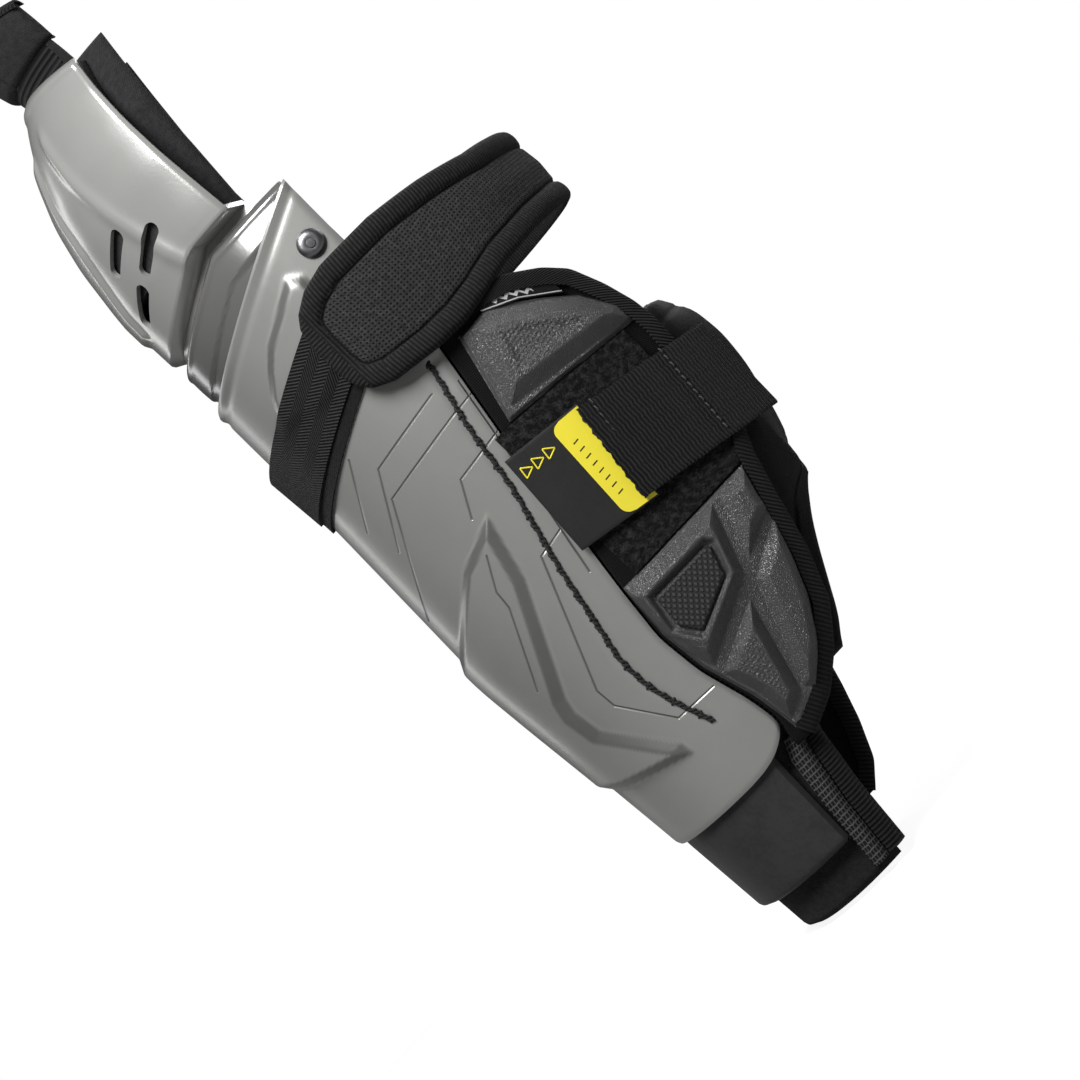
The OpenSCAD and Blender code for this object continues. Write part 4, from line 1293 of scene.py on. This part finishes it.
def lower_relief(y, z):
    rim = depth_in(lower_shape, y, z)
    up = pad_flange * ease(rim / 1.6)
    up += (pad_lift - 0.4) * bevel(depth_in(cell_left, y, z) / 5.5)
    for cell, slope in ((cell_top, 5.5), (cell_right, 5.0), (cell_low, 5.0)):
        up += pad_lift * bevel(depth_in(cell, y, z) / slope)
    hollow = depth_in(recess, y, z)
    return up + 0.5 * np.exp(-((hollow + 1.6) / 1.1) ** 2) - 2.6 * ease((hollow + 0.6) / 1.8)


def pad_face(front, rear, low, high, relief):
    def place(u, v):
        z = low + v * (high - low)
        y = lookup(front, z) * (1 - u) + lookup(rear, z) * u
        return on_wing(y, z, 0.35 + relief(y, z) if relief else -0.5)
    return place


def on_pad(front, rear, low, high, level):
    """The level of a field, such as its dots, at each place of a pad."""
    def mark(u, v):
        z = low + v * (high - low)
        return level(lookup(front, z) * (1 - u) + lookup(rear, z) * u, z)
    return mark


# Leather grain: small cells with creases between them
grain, g_in, g_out = new_group("leather grain", {"Vector": (0, 0, 0), "Scale": 1300.0},
                               {"Height": "NodeSocketFloat"})
crease = grain.nodes.new("ShaderNodeTexVoronoi")
crease.feature = "DISTANCE_TO_EDGE"
bent = put(grain, "ShaderNodeTexNoise", g_in["Vector"], None, 900.0, 2.0, 0.5)
bent_by = maths(grain, "MULTIPLY", bent, 0.0009)
moved = put(grain, "ShaderNodeVectorMath", g_in["Vector"], bent_by, operation="ADD")
grain.links.new(moved, crease.inputs["Vector"])
grain.links.new(g_in["Scale"], crease.inputs["Scale"])
cell_up = put(grain, "ShaderNodeMapRange", crease.outputs["Distance"], 0.0, 0.28, 0.0, 1.0)
grain.links.new(cell_up, g_out["Height"])


def pad_finish(name, dark, light, roughness, dots):
    """Moulded skin: leather grain everywhere and raised dots where the grip mark is set."""
    made, tree, shader = plain_material(name, dark, roughness, Specular_IOR_Level=0.8)
    place = coords(tree)
    creased = use_group(tree, grain, Vector=place, Scale=1250.0)["Height"]
    height = creased
    worn = use_group(tree, handling, Vector=place, Scale=60.0, Amount=0.35)
    mask = put(tree, "ShaderNodeMapRange", worn["Shade"], 0.86, 1.14, 0.25, 0.75)
    if dots:
        grip = level_of(tree, "grip")
        one = ridged(tree, place, (0, 430.0, 205.0))
        two = ridged(tree, place, (0, -60.0, 520.0))
        lattice = maths(tree, "MULTIPLY", one, two)
        dot_up = put(tree, "ShaderNodeMapRange", lattice, 0.25, 0.75, 0.0, 1.0)
        shown_dots = maths(tree, "MULTIPLY", dot_up, grip)
        height = maths(tree, "MULTIPLY_ADD", shown_dots, 2.6, creased)
        mask = maths(tree, "MULTIPLY_ADD", shown_dots, 0.55, mask, use_clamp=True)
    tinted(tree, shader, mask, dark, light)
    rough = maths(tree, "MULTIPLY", worn["Gloss"], roughness)
    tree.links.new(rough, shader.inputs["Roughness"])
    bumped(tree, shader, height, 0.00016)
    return made


moulded = pad_finish("moulded_pad", grey(0.038), (0.075, 0.075, 0.073), 0.34, True)
upper_dots = on_pad(upper_front, upper_rear, upper_low, upper_high,
                    lambda y, z: ease((depth_in(upper_crest, y, z) - 8) / 1.5) * ease((52 - y) / 6))
lower_dots = on_pad(lower_front, lower_rear, lower_low, lower_high,
                    lambda y, z: ease((depth_in(cell_low, y, z) - 5) / 1.2) * ease((z + 334) / 4))
pads = (("upper", upper_front, upper_rear, upper_low, upper_high, upper_relief, upper_dots, 120, 90),
        ("lower", lower_front, lower_rear, lower_low, lower_high, lower_relief, lower_dots, 130, 180))
for side, body, part in ((1, "wing_outer", "lateral"), (-1, "wing_inner", "medial")):
    for name, front, rear, low, high, relief, dots, across, along in pads:
        face = on_side(side, pad_face(front, rear, low, high, relief))
        under = on_side(side, pad_face(front, rear, low, high, None))
        marked = dots if side > 0 else lambda u, v, d=dots: d(1 - u, v)
        pad = skin(f"pad_{name}_{body}", across, along, face, under, moulded, 50, grip=marked)
        belongs(pad, body, "pad", f"pad_{name}_{part}")


def insert_face(out):
    def place(u, v):
        low, high = -289.1, -266
        z = low + v * (high - low)
        left = lookup(((-289.1, -6.5), (-280.8, -11.7), (-266, -9.9)), z)
        right = lookup(((-289.1, -5.5), (-279.8, 15.0), (-268, 19.1), (-266, 16.9)), z)
        y = left * (1 - u) + right * u
        rim = np.maximum(depth_in(insert_shape, y, z), 0)
        up = 0.35 + pad_flange + pad_lift - 2.9
        return on_wing(y, z, up + 2.0 - rounded(rim, 1.6) if out else up - 0.5)
    return place


def knurled(tree, place):
    one = ridged(tree, place, (0, 330.0, 300.0))
    two = ridged(tree, place, (0, -330.0, 300.0))
    lattice = maths(tree, "MULTIPLY", one, two)
    up = put(tree, "ShaderNodeMapRange", lattice, 0.1, 0.6)
    return up, up


insert_skin = cloth("grip_insert", grey(0.035), (0.07, 0.07, 0.069), 0.4, knurled, 0.0005, "Object")
pad_insert = skin("grip_insert_pad", 70, 50, insert_face(True), insert_face(False), insert_skin, 50)
belongs(pad_insert, "wing_outer", "insert", "pad_insert")

# ---- Loop band and woven label -------------------------------------------------------------
# Black fuzzy loop fabric covers the wing between its pads and takes the strap's hook tape. A small
# woven label with plain stripes is sewn above the upper pad.
band_h = 1.4


def band_face(out):
    low, high = ((-9, -254), (58, -253.5)), ((-9, -176.5), (0, -177), (58, -183))

    def place(u, v):
        y = -9 + 67 * u
        z = lookup(low, y) * (1 - v) + lookup(high, y) * v
        tuft = 0.22 * np.sin(3.1 * y + 1.7 * z) * np.sin(2.3 * z - 1.1 * y)
        tuft += 0.12 * np.sin(7 * y) * np.sin(6 * z)
        return on_wing(y, z, band_h - 0.3 + tuft if out else 0.1)
    return place


def loops_nap(tree, place):
    height = napped(tree, place, 1500.0, 1.1)
    return put(tree, "ShaderNodeMapRange", height, 0.95, 1.3), height


loop_fabric = cloth("loop_fabric", grey(0.002), grey(0.05), 1.0, loops_nap, 0.0022,
                    Sheen_Weight=0.037, Sheen_Roughness=0.6)
loop_band = skin("loop_band_cloth", 150, 170, band_face(True), band_face(False), loop_fabric, 80)
belongs(loop_band, "wing_outer", "loop", "loop_band")


def label_face(up):
    low = ((24, -138.2), (38, -145.0), (52, -155.4))
    high = ((24, -132.6), (38, -138.6), (52, -148.6))

    def place(u, v):
        y = 24 + 28 * u
        return on_wing(y, lookup(low, y) * (1 - v) + lookup(high, y) * v, up)
    return place


label_cloth, label_tree, label_shader = plain_material("woven_label", grey(0.01), 0.6)
label_uv = coords(label_tree, "UV")
label_at = label_tree.nodes.new("ShaderNodeSeparateXYZ")
label_tree.links.new(label_uv, label_at.inputs[0])
zig = maths(label_tree, "PINGPONG", label_at.outputs["X"], 0.0022)
zig_up = maths(label_tree, "ADD", zig, 0.0024)
off_zig = maths(label_tree, "SUBTRACT", label_at.outputs["Y"], zig_up)
chevron = maths(label_tree, "COMPARE", off_zig, 0.0, 0.0008)
across = maths(label_tree, "COMPARE", label_at.outputs["X"], -0.001, 0.0088)
marks = maths(label_tree, "MULTIPLY", chevron, across)
edge_line = maths(label_tree, "COMPARE", label_at.outputs["Y"], 0.0009, 0.00028)
white = maths(label_tree, "MAXIMUM", marks, edge_line)
label_yarn = ridged(label_tree, label_uv, (0, 2400.0, 0))
tinted(label_tree, label_shader, white, grey(0.008), (0.75, 0.75, 0.74))
bumped(label_tree, label_shader, label_yarn, 0.0002)
woven_label = skin("woven_label_patch", 40, 10, label_face(1.5), label_face(0.7), label_cloth, 50)
belongs(woven_label, "wing_outer", "label", "woven_label")

# ---- Calf panel ----------------------------------------------------------------------------
# Smooth black padded panel sewn inside the outer wing. It turns behind the calf and leans in to
# it above and below, and the strap is sewn to it.
panel_t, panel_clear, back_r = 6, 0.8, 36
panel_low, panel_high = -336, -182
turn_at = math.radians(38)
panel_end = ((-336, 12), (-327, 17.2), (-318, 20.2), (-309, 23.2), (-300, 26.2), (-288, 30.8),
             (-276, 38), (-268, 56), (-262, 84), (-256, 108), (-246, 124), (-200, 129), (-190, 121),
             (-182, 104))
panel_front = ((-336, 2), (-310, 12), (-290, 18), (-182, 24))
panel_lean = ((-276, 20), (-262, 15), (-252, 10), (-240, 6), (-228, 2), (-212, 0), (-196, 2.8), (-190, 7),
              (-182, 15))


def panel_point(turn, z, up):
    lean = smooth_at(panel_lean, z, 6.0) * ease((np.degrees(turn) - 30) / 40)
    r = smooth_at(wing_r, z) - wing_t - panel_clear - lean - back_r
    k = np.minimum(turn, turn_at)
    q = back_r + up
    return wing_x + r * np.cos(k) + q * np.cos(turn), wing_y + r * np.sin(k) + q * np.sin(turn), z


def panel_face(out):
    def place(u, v):
        z = panel_low + (panel_high - panel_low) * v
        first = wing_turn(lookup(panel_front, z), z)
        last = np.radians(smooth_at(panel_end, z, 6.0))
        turn = first * (1 - u) + last * u
        span = np.minimum(np.minimum(u, 1 - u) * (last - first) * 80,
                          np.minimum(v, 1 - v) * (panel_high - panel_low))
        inset = rounded(span, 2.8)
        seam = 0.9 * np.exp(-((span - 9) / 1.1) ** 2)
        return panel_point(turn, z, 0.5 * ease((span - 9) / 9) - inset - seam if out else inset - panel_t)
    return place


panel_cloth = cloth("smooth_panel_knit", grey(0.003), grey(0.009), 0.6, knit, 0.00022,
                    Sheen_Weight=0.015)
calf_panel = skin("calf_panel_pad", 150, 110, panel_face(True), panel_face(False), panel_cloth, 60)
belongs(calf_panel, "calf", "panel", "calf_panel")

# ---- Calf strap ----------------------------------------------------------------------------
# Black ribbed webbing, 45 mm wide, sewn to the calf panel and folded round the wing's back edge.
# It lies on the loop band, held by hook tape, and its free end is sewn over the pull tab.
strap_base, webbing_w = band_h + 1.2, 45
strap_slope = ((18, -191), (84, -203.5))
strap_path = ((35.4, -6.4), (37.0, -6.0), (38.5, -4.4), (39.4, -2.0), (39.6, 0.4), (39.1, 2.8), (37.6, 4.0),
              (35.0, 4.2), (30, 4.15), (20, 3.75), (12, 3.6), (9.6, 3.8), (7.6, 5.2), (6, 5.5), (2, 5.5),
              (0, 5.5))
mid_r = 115.9


def strap_line():
    nodes = np.array(strap_path, float)
    places = np.stack([(mid_r + nodes[:, 1]) * np.cos(np.radians(nodes[:, 0])),
                       (mid_r + nodes[:, 1]) * np.sin(np.radians(nodes[:, 0]))], 1)
    run = np.concatenate([[0], np.cumsum(np.linalg.norm(np.diff(places, axis=0), axis=1))])
    at = np.arange(0, run[-1], 0.3)
    line = np.stack([np.interp(at, run, places[:, k]) for k in (0, 1)], 1)
    for _ in range(14):
        line[1:-1] = (line[:-2] + 2 * line[1:-1] + line[2:]) / 4
    step = np.gradient(line, axis=0)
    step /= np.linalg.norm(step, axis=1)[:, None]
    return at, line, np.stack([step[:, 1], -step[:, 0]], 1)


strap_run, strap_mid, strap_out = strap_line()


def strap_end_run(k):
    """Where along its path the strap ends: its free end is cut a little aslant."""
    end_y = 21.5 - 6.5 * k + 0.35 * np.sin(40 * k) + 0.25 * np.sin(91 * k)
    late = strap_run > 40
    return np.interp(-end_y, -(wing_y + strap_mid[late][:, 1]), strap_run[late])


def strap_side(out):
    def place(u, v):
        k = 1 - v
        run = u * strap_end_run(k)
        x, y, ox, oy = (np.interp(run, strap_run, line)
                        for line in (strap_mid[:, 0], strap_mid[:, 1], strap_out[:, 0], strap_out[:, 1]))
        half = (web_t / 2 - 0.5 * rounded(np.minimum(v, 1 - v) * webbing_w, 0.8)) * (1 if out else -1)
        x, y = x + ox * half, y + oy * half
        turn, up = np.arctan2(y, x), np.hypot(x, y) - mid_r
        z = lookup(strap_slope, wing_y + y) - k * webbing_w
        return wing_point(turn, z, up)
    return place


def grosgrain(tree, place):
    rib = ridged(tree, place, (560.0, 0, 0))
    yarn = ridged(tree, place, (0, 1900.0, 0))
    fuzz = napped(tree, place, 2000.0, 0.6)
    body = maths(tree, "MULTIPLY_ADD", yarn, 0.3, rib)
    return maths(tree, "MULTIPLY", rib, fuzz), \
        maths(tree, "MULTIPLY_ADD", fuzz, 0.35, body)


webbing = cloth("ribbed_webbing", grey(0.002), grey(0.034), 0.6, grosgrain, 0.0008,
                Sheen_Weight=0.018)
calf_strap = skin("calf_strap_webbing", 260, 46, strap_side(False), strap_side(True), webbing, 50)
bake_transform(calf_strap)
belongs(calf_strap, None, "webbing", "calf_strap", "strap_root")

dashes = []
for y_high, y_low, z_high, z_low, up in ((60.5, 56.6, -199.5, -242.5, 5.0),
                                         (27.6, 21.0, -193.5, -235.5, 5.1)):
    for share in np.arange(0, 1, 1 / 12):
        y0, z0 = y_high + (y_low - y_high) * share, z_high + (z_low - z_high) * share
        bow = [(-1.1, -0.35), (-0.6, 0.05), (0.6, 0.05), (1.1, -0.35)]
        dashes.append([tuple(float(c) for c in on_wing(y0 - 0.09 * a, z0 + a, up + b)) for a, b in bow])
strap_thread = yarn_material("strap_thread", 0.04, 0.13)
strap_stitches = laid_thread("calf_strap_stitches", dashes, 0.3, strap_thread)
belongs(strap_stitches, "strap", "webbing")


def strap_hook_face(drop):
    def place(u, v):
        y = 27 + 46 * u
        return on_wing(y, lookup(strap_slope, y) - webbing_w * (0.9 - 0.8 * v), strap_base - drop)
    return place


calf_hook = skin("calf_strap_hook", 60, 40, strap_hook_face(0.1), strap_hook_face(0.9), hook_tape, 50)
belongs(calf_hook, "strap", "hook", "calf_hook")

# ---- Pull tab ------------------------------------------------------------------------------
# Smooth dark rubbery tab, 1.5 mm thick, sewn under the strap's end to pull it by, with a printed
# yellow band marked in plain ticks and three outlined yellow arrowheads.
tab_t = 1.5
tab_corners = ((-12.2, -185.4), (23, -190.2), (20, -239), (-16.3, -232.2))
yellow_corners = ((8.7, -189.4), (22.6, -190.9), (19.4, -238.2), (5.3, -235.6))


def on_tab(corners, low_up, high_up, corner_r):
    (ay, az), (by, bz), (cy, cz), (dy, dz) = corners

    def place(up):
        def at(u, v):
            w = u
            if corner_r:
                end = np.minimum(v, 1 - v) * 48
                first = rounded(end, corner_r) / 14
                w = first + (1 - first) * u
            y = (dy * (1 - w) + cy * w) * (1 - v) + (ay * (1 - w) + by * w) * v
            z = (dz * (1 - w) + cz * w) * (1 - v) + (az * (1 - w) + bz * w) * v
            edge = 0 if corner_r else 0.35 * rounded(np.minimum(np.minimum(v, 1 - v) * 47, u * 36), 0.8)
            return on_wing(y, z, up - (edge if up > low_up else 0))
        return at
    return place(high_up), place(low_up)


def tab_grain(tree, place):
    creased = use_group(tree, grain, Vector=place, Scale=2600.0)["Height"]
    worn = use_group(tree, handling, Vector=place, Scale=80.0, Amount=0.6)["Shade"]
    return put(tree, "ShaderNodeMapRange", worn, 0.75, 1.25), creased


tab_rubber = cloth("pull_tab_rubber", grey(0.02), (0.03, 0.03, 0.029), 0.5, tab_grain, 0.00004, "Object")
outer, inner = on_tab(tab_corners, strap_base - 0.1, strap_base + tab_t, 0)
pull_tab = skin("pull_tab_rubber", 50, 60, outer, inner, tab_rubber, 50)
belongs(pull_tab, "strap", "pull_tab", "pull_tab")

yellow = (1.0, 0.86, 0.05)
yellow_ink, ink_tree, ink_shader = plain_material("yellow_print", yellow, 0.5)
ink_uv = coords(ink_tree, "UV")
ink_at = ink_tree.nodes.new("ShaderNodeSeparateXYZ")
ink_tree.links.new(ink_uv, ink_at.inputs[0])
tick_wave = maths(ink_tree, "PINGPONG", ink_at.outputs["Y"], 0.0019)
tick_bar = maths(ink_tree, "COMPARE", tick_wave, 0.0, 0.00032)
tick_long = maths(ink_tree, "COMPARE", ink_at.outputs["X"], -0.0027, 0.0014)
tick_reach = maths(ink_tree, "COMPARE", ink_at.outputs["Y"], 0.0245, 0.0155)
tick = maths(ink_tree, "MULTIPLY", tick_bar, tick_long)
tick_shown = maths(ink_tree, "MULTIPLY", tick, tick_reach)
ink_cloud = use_group(ink_tree, handling, Vector=ink_uv, Scale=120.0, Amount=0.16)
ink_soiled = put(ink_tree, "ShaderNodeMapRange", ink_cloud["Shade"], 0.9, 1.1, 0.0, 0.12)
ink_mask = maths(ink_tree, "MAXIMUM", tick_shown, ink_soiled)
tinted(ink_tree, ink_shader, ink_mask, yellow, (0.02, 0.02, 0.01))
outer, inner = on_tab(yellow_corners, strap_base + tab_t - 0.5, strap_base + tab_t + 0.12, 4.5)
yellow_band = skin("yellow_band_print", 30, 70, outer, inner, yellow_ink, 50)
belongs(yellow_band, "strap", "yellow", "tab_band")

arrow_middles = ((-9.0, -194.7), (-3.5, -195.3), (2.2, -195.8))
arrow_shape = ((-0.9, 3.1), (3.0, -0.2), (-1.7, -1.9))
arrow_ink = cloth("yellow_arrow_ink", yellow, (0.85, 0.74, 0.05), 0.5, pores(300.0, 0.5), 0.00002, "Object")
arrow_runs = []
for my, mz in arrow_middles:
    run = []
    for k in range(3):
        (y0, z0), (y1, z1) = arrow_shape[k], arrow_shape[(k + 1) % 3]
        for s in np.linspace(0.06, 0.94, 6):
            y, z = my + y0 + (y1 - y0) * s, mz + z0 + (z1 - z0) * s
            run.append(tuple(float(c) for c in on_wing(y, z, strap_base + tab_t + 0.02)))
    arrow_runs.append(run)
tab_arrows = laid_thread("arrow_prints", arrow_runs, 0.34, arrow_ink, closed=True, sides=2)
belongs(tab_arrows, "strap", "yellow", "tab_arrows")
